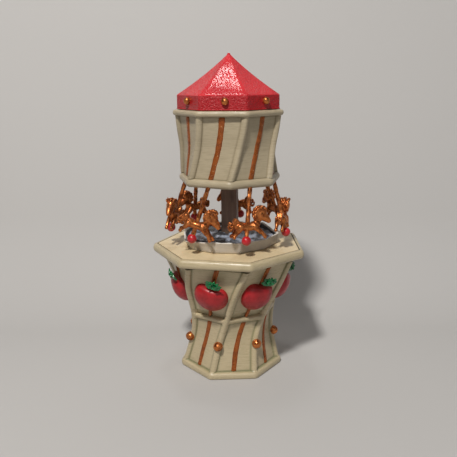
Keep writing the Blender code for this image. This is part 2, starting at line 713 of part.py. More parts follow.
def make_horse(finish):
    """A leaping horse, in millimetres about its saddle: +X ahead, +Z up."""
    belly = limb("horse_1", [
        (-7.8, 0, 0.8, 2.4), (-5.6, 0, 0.3, 3.5), (0, 0, -0.4, 3.0), (5.0, 0, 0.1, 3.5), (6.8, 0, 1.2, 2.7),
    ], 7)
    neck = limb("neck", [(5.8, 0, 1.2, 2.7), (8.0, 0, 3.4, 2.1), (9.4, 0, 5.8, 2.5)])
    mane = limb("mane", [
        (9.8, 0, 3.2, 2.0), (9.7, 0, 5.4, 4.2), (9.6, 0, 8.2, 5.0), (9.5, 0, 11.0, 4.2), (9.4, 0, 13.2, 1.8),
    ], 8)
    muzzle = limb("muzzle", [(10.8, 0, 7.0, 3.3), (13.2, 0, 5.4, 2.9), (15.0, 0, 3.8, 2.2), (15.9, 0, 2.8, 1.7)])
    tail = limb("tail", [
        (-7.0, 0, 1.4, 1.3), (-8.2, 0, 3.6, 1.5), (-9.8, 0, 3.4, 1.5), (-11.4, 0, -2.2, 1.3), (-13.6, 0, -2.2, 1.1),
        (-14.4, 0, -0.2, 0.8),
    ], 5)
    join(belly, neck, mane, muzzle, tail)
    for side in (-1, 1):
        shift = 0.5 * side
        foreleg = [
            (5.0, 1.6 * side, -0.8, 2.2), (7.8, 2.0 * side, -3.8, 1.7), (10.4, 2.1 * side, -6.6, 1.3),
            (13.0 + shift, 2.1 * side, -9.6, 1.4),
        ]
        hindleg = [
            (-5.8, 1.7 * side, -0.6, 2.5), (-7.0, 2.2 * side, -3.6, 1.8), (-8.4, 2.2 * side, -5.4, 1.3),
            (-10.9 - shift, 2.2 * side, -8.5, 1.4),
        ]
        join(belly, limb("foreleg", foreleg, 5), limb("hindleg", hindleg, 5))
    place = horse_frame() @ Matrix.Scale(MM, 4)
    belly.data.transform(place)
    low, high = polar(*POLE_LOW), polar(*POLE_HIGH)
    cut(belly, rod("bore", POLE_R + GAP, low, high, steps=8))
    belly.data.materials.clear()
    belly.data.materials.append(finish)
    return belly


def make_riders(finishes):
    """The seven poles, each through a horse into a red ball."""
    low, high = polar(*POLE_LOW), polar(*POLE_HIGH)
    way = (high - low).normalized()
    pole = rod("pole_1", POLE_R, low + way * GAP, high - way * GAP, finishes["copper"], 8)
    socket_r = POLE_R + GAP
    rows = 6
    bottom, top = -pi / 2 + 0.12, acos(socket_r / RED_BALL_R)
    turns = [bottom + (top - bottom) * i / (rows - 1) for i in range(rows)]
    profile = [(RED_BALL_R * cos(turn), RED_BALL_R * sin(turn)) for turn in turns]
    red = lathe("red_ball_1", profile + [(socket_r, 0)], low, way, finishes["ball_red"], 12)
    horse = make_horse(finishes["copper"])
    for k in range(1, SIDES):
        copy_of(pole, f"pole_{k + 1}", k * STEP_DEG)
        copy_of(red, f"red_ball_{k + 1}", k * STEP_DEG)
        about_pole = Matrix.Translation(low) @ Matrix.Rotation(radians(HORSE_TURNS[k]), 4, way)
        turned = copy_of(horse, f"horse_{k + 1}")
        turned.matrix_world = Matrix.Rotation(radians(k * STEP_DEG), 4, "Z") @ about_pole @ Matrix.Translation(-low)


# ---- the wind-up movement ----
X_AXIS, Y_AXIS, Z_AXIS = Vector((1, 0, 0)), Vector((0, 1, 0)), Vector((0, 0, 1))


def upright_hole(radius, x, y, low, high):
    return rod("hole", radius, Vector((x, y, low)), Vector((x, y, high)))


def hole_on_x(radius, start, end, y, z):
    return rod("hole", radius, Vector((start, y, z)), Vector((end, y, z)))


PLATE_LEFT, PLATE_RIGHT = -15 * MM, 31.6 * MM
PLATE_FRONT, PLATE_BACK = -17 * MM, 19.2 * MM
COMB_BLOCK_BACK = -12.6 * MM
SCREW_R = 1.2 * MM
PLATE_SCREWS = ((-11.5 * MM, -12.5 * MM), (-11.5 * MM, 14.5 * MM))


def make_plates(finishes):
    low = SHELF_Z + GAP
    angle = twist(SHELF_Z)
    shelf = mesh_object("movement_shelf", *skin([
        plain_ring(inner_r(SHELF_Z) - 2 * GAP, z, angle) for z in (low, low + SHELF_THICK)
    ]), finishes["shelf"])
    cut(shelf, upright_hole(4 * MM, 0, 0, low - MM, low + 5 * MM))
    corner = 6.5 * MM
    outline = [
        (PLATE_LEFT + corner, PLATE_FRONT), (PLATE_RIGHT - corner, PLATE_FRONT), (PLATE_RIGHT, PLATE_FRONT + corner),
        (PLATE_RIGHT, PLATE_BACK - corner), (PLATE_RIGHT - corner, PLATE_BACK), (PLATE_LEFT + corner, PLATE_BACK),
        (PLATE_LEFT, PLATE_BACK - corner), (PLATE_LEFT, PLATE_FRONT + corner),
    ]
    plate = prism("bedplate", outline, PLATE_Z, PLATE_TOP, finishes["steel"])
    cut(plate, upright_hole(SHAFT_R + RUNNING, 0, 0, PLATE_Z - MM, PLATE_TOP + MM))
    cut(plate, upright_hole(0.6 * MM + RUNNING, WORM_X, WORM_Y, PLATE_TOP - 1.2 * MM, PLATE_TOP + MM))
    for i, (x, y) in enumerate(PLATE_SCREWS):
        cut(shelf, upright_hole(SCREW_R + GAP, x, y, low - MM, low + 5 * MM))
        cut(plate, upright_hole(SCREW_R + GAP, x, y, PLATE_Z - MM, PLATE_TOP + MM))
        screw(f"bedplate_screw_{i + 1}", x, y, PLATE_TOP + GAP, 4 * MM, finishes["steel"])


def screw(name, x, y, seat, length, finish):
    """A cheese-head screw with a straight slot, its head on the seat."""
    head_r, head = 2.1 * MM, 1.3 * MM
    profile = [(SCREW_R, -length), (SCREW_R, 0), (head_r, 0), (head_r, head)]
    made = lathe(name, profile, Vector((x, y, seat)), Z_AXIS, finish, 10)
    slot = 0.3 * MM
    cut(made, box("slot", (x - 3 * MM, y - slot, seat + head - 0.5 * MM), (x + 3 * MM, y + slot, seat + head + MM)))


def make_barrel(finishes):
    """The spring barrel, with crown teeth on its flange and the output shaft that turns the column."""
    shaft_top = COLUMN_BOTTOM + 11 * MM
    flange_r = CROWN_R + 1.2 * MM
    drum_r = CROWN_R - 1.7 * MM
    crown_low = CROWN_R - MM
    rings = []

    def circle(radius, z, count):
        return [Vector((radius * cos(2 * pi * i / count), radius * sin(2 * pi * i / count), z)) for i in range(count)]

    def toothed(radius):
        """Four points for each tooth, the first tooth's middle half a pitch past +X."""
        ring = []
        for i in range(CROWN_TEETH):
            for step, up in ((0.32, 0), (0.38, 1), (0.62, 1), (0.68, 0)):
                turn = 2 * pi * (i + step) / CROWN_TEETH
                height = FLANGE_TOP - TOOTH_ROOM + 2 * TOOTH * up
                ring.append(Vector((radius * cos(turn), radius * sin(turn), height)))
        return ring

    coarse = CROWN_TEETH
    rings.append(circle(flange_r, FLANGE_Z, coarse))
    rings.append(toothed(flange_r))
    rings.append(toothed(crown_low))
    rings.append(circle(drum_r, FLANGE_TOP, coarse))
    rings.append(circle(drum_r, BARREL_TOP - 0.6 * MM, coarse))
    rings.append(circle(drum_r - 0.6 * MM, BARREL_TOP, coarse))
    rings.append(circle(SHAFT_R, BARREL_TOP, coarse))
    rings.append(circle(SHAFT_R, shaft_top, coarse))
    mesh_object("spring_barrel", *skin(rings), finishes["brass"])


def make_bridge(finishes):
    """The bridge over the barrel. Its right leg also carries the cylinder's inner pivot."""
    half_width = 4.5 * MM
    inside = CROWN_R + 1.5 * MM
    outside = inside + 1.1 * MM
    low = PLATE_TOP + GAP
    top = BRIDGE_Z + 1.6 * MM
    bridge = box("barrel_bridge", (-outside - MM, -half_width, BRIDGE_Z), (outside, half_width, top), finishes["brass"])
    join(bridge, box("leg", (inside, -half_width, low), (outside, half_width, BRIDGE_Z + 0.8 * MM)))
    join(bridge, box("leg", (-outside - MM, -half_width, low), (-inside, half_width, BRIDGE_Z + 0.8 * MM)))
    cut(bridge, upright_hole(SHAFT_R + RUNNING, 0, 0, BRIDGE_Z - MM, top + MM))
    cut(bridge, hole_on_x(MM + RUNNING, inside - MM, outside + MM, 0, ARBOR_Z))


def make_cylinder(finishes):
    """The pinned cylinder on its arbor, with the pinion that the barrel drives and the wheel that drives the governor."""
    steps = 16
    rings = []

    def circle(x, pins):
        ring = []
        for i in range(steps):
            radius = CYLINDER_R + (PIN_HEIGHT if i in pins else 0)
            turn = 2 * pi * i / steps
            ring.append(Vector((x, radius * cos(turn), ARBOR_Z + radius * sin(turn))))
        return ring

    rings.append(circle(CYLINDER_START, ()))
    for tone in range(TONES):
        middle = CYLINDER_START + 0.2 * MM + (tone + 0.5) * TONE_PITCH
        pins = {(3 * tone + 1) % steps, (7 * tone + 9) % steps, (5 * tone + 15) % steps}
        for x, found in ((-0.5, ()), (-0.3, pins), (0.3, pins), (0.5, ())):
            rings.append(circle(middle + x * MM, found))
    rings.append(circle(CYLINDER_END, ()))
    cylinder = mesh_object("music_cylinder", *skin(rings), finishes["brass"])
    arbor = rod("arbor", MM, Vector((CROWN_R - 1.2 * MM, 0, ARBOR_Z)), Vector((BRACKET_X + 2 * MM, 0, ARBOR_Z)), steps=16)
    join(cylinder, arbor)
    half = MM
    join(cylinder, gear_on_x("pinion", PINION_TEETH, PINION_R, CROWN_R - half, CROWN_R + half, 0, ARBOR_Z, width=0.5))
    join(cylinder, gear_on_x("wheel", WHEEL_TEETH, WHEEL_R, WHEEL_X - 0.9 * MM, WHEEL_X + 0.9 * MM, 0, ARBOR_Z))


def make_comb(finishes):
    """The steel comb on its block. Its teeth reach to just short of the pins."""
    tip = -(CYLINDER_R + PIN_HEIGHT + GAP)
    root = COMB_BLOCK_BACK + 1.5 * MM
    back = PLATE_FRONT + 0.4 * MM
    start = CYLINDER_START + 0.2 * MM
    end = start + TONES * TONE_PITCH
    outline = [(start, back), (end, back)]
    for tone in reversed(range(TONES)):
        middle = start + (tone + 0.5) * TONE_PITCH
        half = 0.65 * MM
        length = tip - 0.25 * MM * tone * 0.4
        outline += [(middle + half, root), (middle + 0.7 * half, length), (middle - 0.7 * half, length), (middle - half, root)]
    low = ARBOR_Z - 0.4 * MM
    comb = prism("comb", outline, low, low + 0.8 * MM, finishes["steel"])
    block = box(
        "comb_block", (start, back, PLATE_TOP + GAP), (end, COMB_BLOCK_BACK, low - GAP), finishes["brass"]
    )
    y = (back + COMB_BLOCK_BACK) / 2
    for i, x in enumerate((start + 3 * MM, end - 3 * MM)):
        cut(comb, upright_hole(SCREW_R + GAP, x, y, low - MM, low + 2 * MM))
        cut(block, upright_hole(SCREW_R + GAP, x, y, low - 4 * MM, low + MM))
        screw(f"comb_screw_{i + 1}", x, y, low + 0.8 * MM + GAP, 4 * MM, finishes["steel"])


def make_governor(finishes):
    """The speed governor: a shaft with a gear and a worm wheel, which spins a worm with an air fan."""
    gear_half = 0.7 * MM
    worm_half = 0.5 * MM
    shaft_r = 0.9 * MM
    shaft_start, shaft_end = WORM_X - 1.6 * MM, BRACKET_X + 2 * MM
    y, z = GEAR_SPACING, ARBOR_Z
    shaft = rod("governor_gear", shaft_r, Vector((shaft_start, y, z)), Vector((shaft_end, y, z)), finishes["brass"], 16)
    # The cylinder's wheel has a tooth pointing at the governor, so this gear has a gap there.
    facing = pi / 2 + pi / GOVERNOR_TEETH
    gear = gear_on_x("gear", GOVERNOR_TEETH, GOVERNOR_R, WHEEL_X - gear_half, WHEEL_X + gear_half, y, z, facing)
    worm_wheel = gear_on_x(
        "worm_wheel", WORM_TEETH, WORM_WHEEL_R, WORM_X - worm_half, WORM_X + worm_half, y, z, -pi / 2, width=0.36
    )
    join(shaft, gear, worm_wheel)

    steps, per_turn = 12, 6
    low, turns = ARBOR_Z - 1.5 * WORM_PITCH, 3
    count = per_turn * turns
    rings = []
    for i in range(count + 1):
        height = low + turns * WORM_PITCH * i / count
        ring = []
        for j in range(steps):
            around = 2 * pi * j / steps
            phase = ((height - ARBOR_Z) / WORM_PITCH - around / (2 * pi) - 0.25) % 1
            thread = 0.5 if 0.25 < phase < 0.75 else -0.35
            radius = WORM_R + thread * MM * 0.9 * (1 if 0 < i < count else 0)
            ring.append(Vector((WORM_X + radius * cos(around), WORM_Y + radius * sin(around), height)))
        rings.append(ring)
    fan = mesh_object("governor_fan", *skin(rings), finishes["brass"])
    spindle_r = 0.6 * MM
    spindle_top = ARBOR_Z + 9 * MM
    join(fan, rod("spindle", spindle_r, Vector((WORM_X, WORM_Y, PLATE_TOP - 0.9 * MM)), Vector((WORM_X, WORM_Y, spindle_top)), steps=12))
    blade, thick = 4.6 * MM, 0.4 * MM
    fan_low = ARBOR_Z + 5 * MM
    join(fan, box("blade", (WORM_X - blade, WORM_Y - thick, fan_low), (WORM_X + blade, WORM_Y + thick, spindle_top - 0.6 * MM)))

    bracket_low = PLATE_TOP + GAP
    left, right = WORM_X + 2.4 * MM, WORM_X + 3.8 * MM
    arm_low = ARBOR_Z + 3 * MM
    back = WORM_Y + 1.8 * MM
    bracket = box("governor_bracket", (left, y - 2.5 * MM, bracket_low), (right, back, arm_low + 1.2 * MM), finishes["brass"])
    join(bracket, box("arm", (WORM_X - 1.8 * MM, WORM_Y - 1.8 * MM, arm_low), (right - 0.2 * MM, back - 0.2 * MM, arm_low + MM)))
    cut(bracket, hole_on_x(shaft_r + RUNNING, left - MM, right + MM, y, z))
    cut(bracket, upright_hole(spindle_r + RUNNING, WORM_X, WORM_Y, arm_low - MM, arm_low + 3 * MM))

    outer = box("cylinder_bracket", (BRACKET_X, -3.5 * MM, bracket_low), (BRACKET_X + 1.5 * MM, y + 3 * MM, ARBOR_Z + 3.2 * MM), finishes["brass"])
    cut(outer, hole_on_x(MM + RUNNING, BRACKET_X - MM, BRACKET_X + 3 * MM, 0, ARBOR_Z))
    cut(outer, hole_on_x(shaft_r + RUNNING, BRACKET_X - MM, BRACKET_X + 3 * MM, y, z))


def make_key(finishes):
    """The winding stem down through the waist, and the butterfly key in the hollow foot."""
    key_top, key_low = 17 * MM, 5 * MM
    stem_low, stem_top = key_low + 3 * MM, FLANGE_Z - GAP
    rod("winding_stem", SHAFT_R, Vector((0, 0, stem_low)), Vector((0, 0, stem_top)), finishes["steel"])
    hub_r = 3.6 * MM
    key = rod("winding_key", hub_r, Vector((0, 0, key_low)), Vector((0, 0, key_top)), finishes["steel"], 20)
    thick = 0.9 * MM
    for side in (-1, 1):
        rings = []
        for y in (-thick, thick):
            ring = []
            for i in range(16):
                turn = 2 * pi * i / 16
                x = side * (KEY_SPAN * 0.56 + KEY_SPAN * 0.44 * cos(turn))
                z = (key_low + key_top) / 2 + 5.4 * MM * sin(turn)
                ring.append(Vector((x, y, z)))
            rings.append(ring)
        join(key, mesh_object("wing", *skin(rings)))
        eye = Vector((side * KEY_SPAN * 0.62, 0, (key_low + key_top) / 2))
        cut(key, rod("eye", 2.3 * MM, eye - Y_AXIS * 3 * MM, eye + Y_AXIS * 3 * MM, steps=14))
    cut(key, rod("socket", SHAFT_R + RUNNING, Vector((0, 0, stem_low - GAP)), Vector((0, 0, key_top + MM))))


def box_middle():
    """The middle of the box around the rim, which is the widest part. Seven sides put it a little off the axis."""
    rim = plain_ring(RIM_R, 0, DECK_ANGLE)
    across, deep = [point.x for point in rim], [point.y for point in rim]
    return Vector(((min(across) + max(across)) / 2, (min(deep) + max(deep)) / 2, 0))


def main():
    clear_scene()
    finishes = make_materials()
    make_base_shell(finishes["cream"])
    make_apples(finishes["apple_red"], finishes["leaf_green"])
    make_deck(finishes)
    make_basin(finishes["basin_white"])
    make_rocks(finishes["rock_grey"])
    make_canopy(finishes["canopy"])
    make_roof(finishes["red_roof"])
    make_column(finishes["column_grey"])
    make_riders(finishes)
    make_plates(finishes)
    make_barrel(finishes)
    make_bridge(finishes)
    make_cylinder(finishes)
    make_comb(finishes)
    make_governor(finishes)
    make_key(finishes)
    middle = box_middle()
    for piece in bpy.data.objects:
        piece.location -= middle


main()
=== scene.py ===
"""Looks of the carousel music box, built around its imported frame.

Sizes are in millimetres about the turning axis, and angles in degrees from -Y towards +X.
The camera, the lights and the backdrop are in metres.
"""

import json
from math import cos, degrees, atan2, pi, radians, sin, sqrt

import bmesh
import bpy
from mathutils import Matrix, Vector, noise


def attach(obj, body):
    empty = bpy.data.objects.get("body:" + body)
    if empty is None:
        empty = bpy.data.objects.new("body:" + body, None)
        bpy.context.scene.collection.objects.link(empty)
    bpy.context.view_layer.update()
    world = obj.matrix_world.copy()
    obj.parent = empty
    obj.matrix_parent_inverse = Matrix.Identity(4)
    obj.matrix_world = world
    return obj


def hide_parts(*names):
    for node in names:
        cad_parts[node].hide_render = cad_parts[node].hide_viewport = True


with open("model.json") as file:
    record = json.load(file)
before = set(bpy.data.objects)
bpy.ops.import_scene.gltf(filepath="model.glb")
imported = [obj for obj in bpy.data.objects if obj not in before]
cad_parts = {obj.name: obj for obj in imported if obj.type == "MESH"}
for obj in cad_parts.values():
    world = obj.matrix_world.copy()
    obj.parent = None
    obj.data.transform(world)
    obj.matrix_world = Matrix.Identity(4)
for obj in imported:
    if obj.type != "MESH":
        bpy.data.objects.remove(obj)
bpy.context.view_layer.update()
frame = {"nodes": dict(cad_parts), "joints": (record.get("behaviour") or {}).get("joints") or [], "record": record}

# ---- sizes, which repeat the frame's or stay within about a millimetre of them ----
MM = 0.001
SIDES = 7
STEP = 360 / SIDES
FLAT = cos(pi / SIDES)

FOOT_R, FOOT_TOP, FOOT_ANGLE = 41, 5, -23.3
WAIST_Z, WAIST_HALF = 45.4, 2.1
RIB_TOP, RIM_BOTTOM, DECK_Z = 90.6, 91.8, 98.4
RIM_R, DECK_ANGLE, LID_R, LID_THICK = 60, 14.3, 56.2, 2.4
PANEL_DEPTH, SLOT_DEPTH, WALL = 2, 3.8, 2.4
SHELF_Z = 59.4
RIB_CURVE = [(0, 40.2), (5, 39.2), (25, 34.7), (37, 34.4), (50, 37.4), (72, 46.4), (91, 52.6)]
TWIST_CURVE = [(0, -23.3), (5, -22.4), (25, -16.6), (50, -3.0), (72, 5.9), (91, 14.3)]

CANOPY_BOTTOM, CANOPY_TOP, CANOPY_LOW_R, CANOPY_TOP_R = 146.2, 200.3, 39.8, 41.8
LOWER_BEAD, UPPER_BEAD, CANOPY_FLOOR, CANOPY_WALL = 6, 4.1, 4, 1.8
CANOPY_CURVE = [(150, 38.9), (162, 38.0), (174, 37.8), (186, 39.2), (198, 40.4)]
CANOPY_TWIST = [(150, 0.2), (162, 6.2), (174, 11.4), (186, 15.6), (198, 17.9)]

HEIGHT = 240
ROOF_R, ROOF_BAND_TOP, ROOF_ANGLE, ROOF_WALL = 38.6, 210.8, 18.6, 2
KNOB_R, KNOB_Z, KNOB_REACH, KNOB_TURN = 2.65, 206.8, 35.4, 2.4
BASE_BALL_R, BASE_BALL_Z = 3.65, 25.4

APPLE_Z, APPLE_HALF_WIDTH, APPLE_HALF_HEIGHT, APPLE_REACH = 67.1, 13.2, 13.0, 8.6

POLE_LOW, POLE_HIGH, POLE_R = (45.5, 111, 14.5), (33.5, 149, 25.8), 1.7
RED_BALL_R, HORSE_ALONG_POLE = 3.4, 11.8
HORSE_TURNS = (0, 6, 0, 0, 0, -20, 20)
HORSE_DIPS = (0, 0, 0, 0, 0, 0, 9)

BASIN_WALL, BASIN_FLOOR = 1.4, 1.5
# angle, radius low down, radius at the rim, height of the rim
BASIN_OUTLINE = [
    (-88.6, 34.5, 36.0, 106.6), (-56, 35.6, 40.6, 105.6), (-37.5, 34.2, 38.2, 106.2),
    (-22.8, 34.0, 34.9, 106.8), (3.2, 33.8, 36.0, 107.0), (13.2, 34.2, 34.8, 106.5),
    (50.7, 33.9, 34.8, 106.4), (83, 36.4, 38.2, 106.8), (112, 35.0, 36.6, 105.2),
    (131, 34.4, 37.0, 108.6), (152, 34.4, 36.8, 106.0), (178, 34.6, 37.4, 107.4),
    (205, 34.4, 37.2, 105.8), (232, 34.6, 38.0, 107.6), (253, 34.8, 38.0, 106.0),
]
BASIN_LOW = DECK_Z + 0.3
ROCK_HOLE_R = 8.8
ROCK_LOW = BASIN_LOW + BASIN_FLOOR + 0.3
ROCK_PEAK, ROCK_FALL = 8.2, 4.4
BOULDER, BOULDER_R = (14, 0, -38), 6

spin = next(joint for joint in frame["joints"] if joint["name"] == "carousel_spin")
AXIS = Vector((spin["pos_m"][0], spin["pos_m"][1], 0))


# ---- helpers ----
def polar(radius, height, angle):
    turn = radians(angle)
    return Vector((radius * sin(turn), -radius * cos(turn), height))


def smooth_through(points, at):
    """The value at one place on a smooth curve through (place, value) points."""
    last = len(points) - 1
    i = max(0, min(last - 1, sum(1 for place, _ in points if place <= at) - 1))
    slopes = []
    for j in (i, i + 1):
        before, after = points[max(0, j - 1)], points[min(last, j + 1)]
        slopes.append((after[1] - before[1]) / (after[0] - before[0]))
    (start, low), (end, high) = points[i], points[i + 1]
    span = end - start
    t = (at - start) / span
    rise = 3 * t * t - 2 * t * t * t
    enter = (t * t * t - 2 * t * t + t) * span * slopes[0]
    leave = (t * t * t - t * t) * span * slopes[1]
    return low + (high - low) * rise + enter + leave


def spread(low, high, count):
    """Evenly spaced values, both ends included."""
    return [low + (high - low) * i / (count - 1) for i in range(count)]


def rough(point, size, seed=0.0):
    """Smooth noise from about -1 to 1 whose bumps are about size apart."""
    return noise.noise(Vector(point) / size + Vector((seed, 1.7 * seed, 0.3 * seed)))


def skin(rings, closed=False, caps=True):
    """Points and faces of a stack of rings with equal counts, capped, or joined last to first when closed."""
    count = len(rings[0])
    points = [point for ring in rings for point in ring]
    faces = []
    last = len(rings) if closed else len(rings) - 1
    for a in range(last):
        b = (a + 1) % len(rings)
        for i in range(count):
            j = (i + 1) % count
            faces.append((a * count + i, a * count + j, b * count + j, b * count + i))
    if not closed and caps:
        faces.append(tuple(range(count)))
        faces.append(tuple((len(rings) - 1) * count + i for i in range(count)))
    return points, faces


def mesh_of(name, points, faces, finish, sharp, marks=None):
    """A mesh in metres from millimetre points, normals outwards. Marks are named values, one per point."""
    mesh = bpy.data.meshes.new(name)
    mesh.from_pydata([tuple(Vector(point) * MM) for point in points], [], faces)
    for mark, values in (marks or {}).items():
        mesh.attributes.new(mark, "FLOAT", "POINT").data.foreach_set("value", values)
    work = bmesh.new()
    work.from_mesh(mesh)
    bmesh.ops.recalc_face_normals(work, faces=work.faces)
    if work.calc_volume(signed=True) < 0:
        bmesh.ops.reverse_faces(work, faces=work.faces)
    work.to_mesh(mesh)
    work.free()
    mesh.shade_smooth()
    mesh.set_sharp_from_angle(angle=radians(sharp))
    mesh.materials.append(finish)
    return mesh


def piece(name, mesh, body, replaced=(), turn=0.0, place=None):
    """Shows a mesh as a piece of the object, turned about the axis, that rides on a body."""
    made = bpy.data.objects.new(name, mesh)
    bpy.context.scene.collection.objects.link(made)
    local = place if place is not None else Matrix.Identity(4)
    made.matrix_world = Matrix.Translation(AXIS) @ Matrix.Rotation(radians(turn), 4, "Z") @ local
    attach(made, body)
    if replaced:
        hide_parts(*replaced)
    return made


def seven(name, mesh, body, replaced=None):
    """Seven turned copies of a mesh, each of which stands for a CAD node with the same number."""
    for k in range(SIDES):
        nodes = [f"{replaced}_{k + 1}"] if replaced else ()
        piece(f"{name}_{k + 1}", mesh, body, nodes, k * STEP)


def frame_along(direction):
    return Vector(direction).to_track_quat("Z", "Y").to_matrix()


def tube(spots, sides):
    """Rings of a tube through (x, y, z, radius) spots on a smooth curve, with rounded ends."""
    centres = [Vector(spot[:3]) for spot in spots]
    rings = []
    turn = None
    for i, spot in enumerate(spots):
        before, after = centres[max(0, i - 1)], centres[min(len(spots) - 1, i + 1)]
        way = (after - before).normalized()
        if turn is None:
            turn = frame_along(way)
        else:
            turn = turn.col[2].rotation_difference(way).to_matrix() @ turn
        ring = []
        for j in range(sides):
            around = 2 * pi * j / sides
            ring.append(centres[i] + turn @ Vector((spot[3] * cos(around), spot[3] * sin(around), 0)))
        rings.append(ring)
        if i in (0, len(spots) - 1):
            back = -1 if i == 0 else 1
            extra = []
            for bend in (0.5, 0.85):
                share = sqrt(1 - bend * bend)
                push = way * (back * bend * spot[3])
                extra.append([centres[i] + (point - centres[i]) * share + push for point in ring])
            if i == 0:
                rings = [extra[1], extra[0]] + rings
            else:
                rings += extra
    return rings


def curve_spots(spots, count):
    """More (x, y, z, radius) spots, on a smooth curve through a few."""
    tracks = [[(i, spot[axis]) for i, spot in enumerate(spots)] for axis in range(4)]
    return [[smooth_through(track, at) for track in tracks] for at in spread(0, len(spots) - 1, count)]


def globe(centre, radii, steps=24, rows=14):
    """Rings of an ellipsoid."""
    rings = []
    for up in spread(-pi / 2 + 0.06, pi / 2 - 0.06, rows):
        ring = []
        for j in range(steps):
            around = 2 * pi * j / steps
            way = (cos(up) * cos(around), cos(up) * sin(around), sin(up))
            ring.append(Vector(centre) + Vector([radius * part for radius, part in zip(radii, way)]))
        rings.append(ring)
    return rings


def uneven_ball(name, centre, radius, finish, lumps, steps=24, rows=14):
    """A hand-made ball. Lumps are how deep, how far apart and which."""
    deep, size, seed = lumps
    rings = globe(centre, (radius,) * 3, steps, rows)
    for ring in rings:
        for point in ring:
            point += (point - centre).normalized() * deep * rough(point, size, seed)
    return mesh_of(name, *skin(rings), finish, 80)


# ---- materials ----
class Finish:
    """A Principled material with short calls for the nodes that it needs."""

    def __init__(self, name, colour, roughness, metallic=0.0, coat=0.0, coat_roughness=0.15):
        self.made = bpy.data.materials.new(name)
        self.made.use_nodes = True
        self.tree = self.made.node_tree
        self.shader = self.tree.nodes["Principled BSDF"]
        self.set("Base Color", (*colour, 1))
        self.set("Roughness", roughness)
        self.set("Metallic", metallic)
        self.set("Coat Weight", coat)
        self.set("Coat Roughness", coat_roughness)
        self.made.diffuse_color = (*colour, 1)
        self.height = None
        self.colour = None

    def set(self, socket, value):
        self.shader.inputs[socket].default_value = value

    def node(self, kind, **values):
        made = self.tree.nodes.new(kind)
        for key, value in values.items():
            setattr(made, key, value)
        return made

    def link(self, output, place):
        self.tree.links.new(output, place)

    def noise(self, size, stretch=(1, 1, 1), detail=4.0, rough=0.55, kind="ShaderNodeTexNoise"):
        """Noise on the object's own coordinates, with features about size millimetres apart."""
        where = self.node("ShaderNodeTexCoord")
        scaled = self.node("ShaderNodeMapping")
        scaled.inputs["Scale"].default_value = stretch
        self.link(where.outputs["Object"], scaled.inputs["Vector"])
        made = self.node(kind)
        made.inputs["Scale"].default_value = 1 / (size * MM)
        if "Detail" in made.inputs:
            made.inputs["Detail"].default_value = detail
            made.inputs["Roughness"].default_value = rough
        self.link(scaled.outputs["Vector"], made.inputs["Vector"])
        return made.outputs["Distance" if kind == "ShaderNodeTexVoronoi" else "Fac"]

    def mark(self, name):
        """The values that a mesh holds under this name."""
        made = self.node("ShaderNodeAttribute", attribute_name=name)
        return made.outputs["Fac"]

    def window(self, value, low, high, out_low=0.0, out_high=1.0):
        """A value moved smoothly from one range to another, and held at its ends."""
        made = self.node("ShaderNodeMapRange", interpolation_type="SMOOTHSTEP")
        sockets = ("From Min", "From Max", "To Min", "To Max")
        for socket, number in zip(sockets, (low, high, out_low, out_high)):
            made.inputs[socket].default_value = number
        self.link(value, made.inputs["Value"])
        return made.outputs["Result"]

    def tint(self, share, colour):
        """Mixes the base colour so far with another by a share that varies over the surface."""
        mix = self.node("ShaderNodeMix", data_type="RGBA")
        self.link(share, mix.inputs[0])
        if self.colour is None:
            mix.inputs[6].default_value = self.shader.inputs["Base Color"].default_value
        else:
            self.link(self.colour, mix.inputs[6])
        mix.inputs[7].default_value = (*colour, 1)
        self.colour = mix.outputs[2]
        self.link(self.colour, self.shader.inputs["Base Color"])

    def vary(self, socket, value, low, high):
        """Lets a noise move a socket between two values."""
        self.link(self.window(value, 0.3, 0.7, low, high), self.shader.inputs[socket])

    def bump(self, height, deep, strength=1.0):
        """Relief, deep in millimetres."""
        made = self.node("ShaderNodeBump")
        made.inputs["Strength"].default_value = strength
        made.inputs["Distance"].default_value = deep * MM
        self.link(height, made.inputs["Height"])
        if self.height is not None:
            self.link(self.height, made.inputs["Normal"])
        self.height = made.outputs["Normal"]
        self.link(self.height, self.shader.inputs["Normal"])


def painted_print(name, colour, shade, recess_wash_and_shade, roughness):
    """Satin paint brushed over 3-D print layers, darker where a mesh's recess mark says: partly a darker wash,
    partly painted shade, and painted shadow nearly black in the deepest gaps.
    """
    made = Finish(name, colour, roughness, coat=0.15, coat_roughness=0.3)
    layers = made.noise(9, (1, 1, 14), 5, 0.6)
    made.tint(made.window(layers, 0.42, 0.72, 0, 0.55), shade)
    blotches = made.noise(26, (1, 1, 0.6), 3)
    made.tint(made.window(blotches, 0.45, 0.7, 0, 0.35), shade)
    # painted shade, with some real darker wash: the recess colour where the mark is up to 1
    made.tint(made.window(made.mark("recess_wash_and_shade"), 0.05, 1.0, 0, 0.8), recess_wash_and_shade)
    # painted shadow: marks above 1, in seams and gaps, go nearly black
    made.tint(made.window(made.mark("recess_wash_and_shade"), 1.0, 1.5), (0.035, 0.03, 0.02))
    made.vary("Roughness", made.noise(5, (1, 1, 3), 4), roughness - 0.1, roughness + 0.15)
    made.bump(layers, 0.22, 0.5)
    made.bump(made.noise(1.2, (1, 1, 2.2), 3), 0.05, 0.5)
    return made.made


def paint(name, colour, shade, roughness, size, coat, relief, light=None):
    """Brushed paint with streaks of a darker shade, and of a lighter one where given."""
    made = Finish(name, colour, roughness, coat=coat, coat_roughness=0.2)
    streaks = made.noise(size, (1, 1, 1), 5, 0.6)
    made.tint(made.window(streaks, 0.42, 0.7, 0, 0.8), shade)
    if light:
        made.tint(made.window(made.noise(size * 0.7, (1, 1, 1), 4), 0.6, 0.8, 0, 0.6), light)
    made.vary("Roughness", made.noise(size * 0.5), roughness - 0.08, roughness + 0.14)
    made.bump(made.noise(size * 0.35, (1, 1, 1), 4), relief, 0.6)
    return made.made


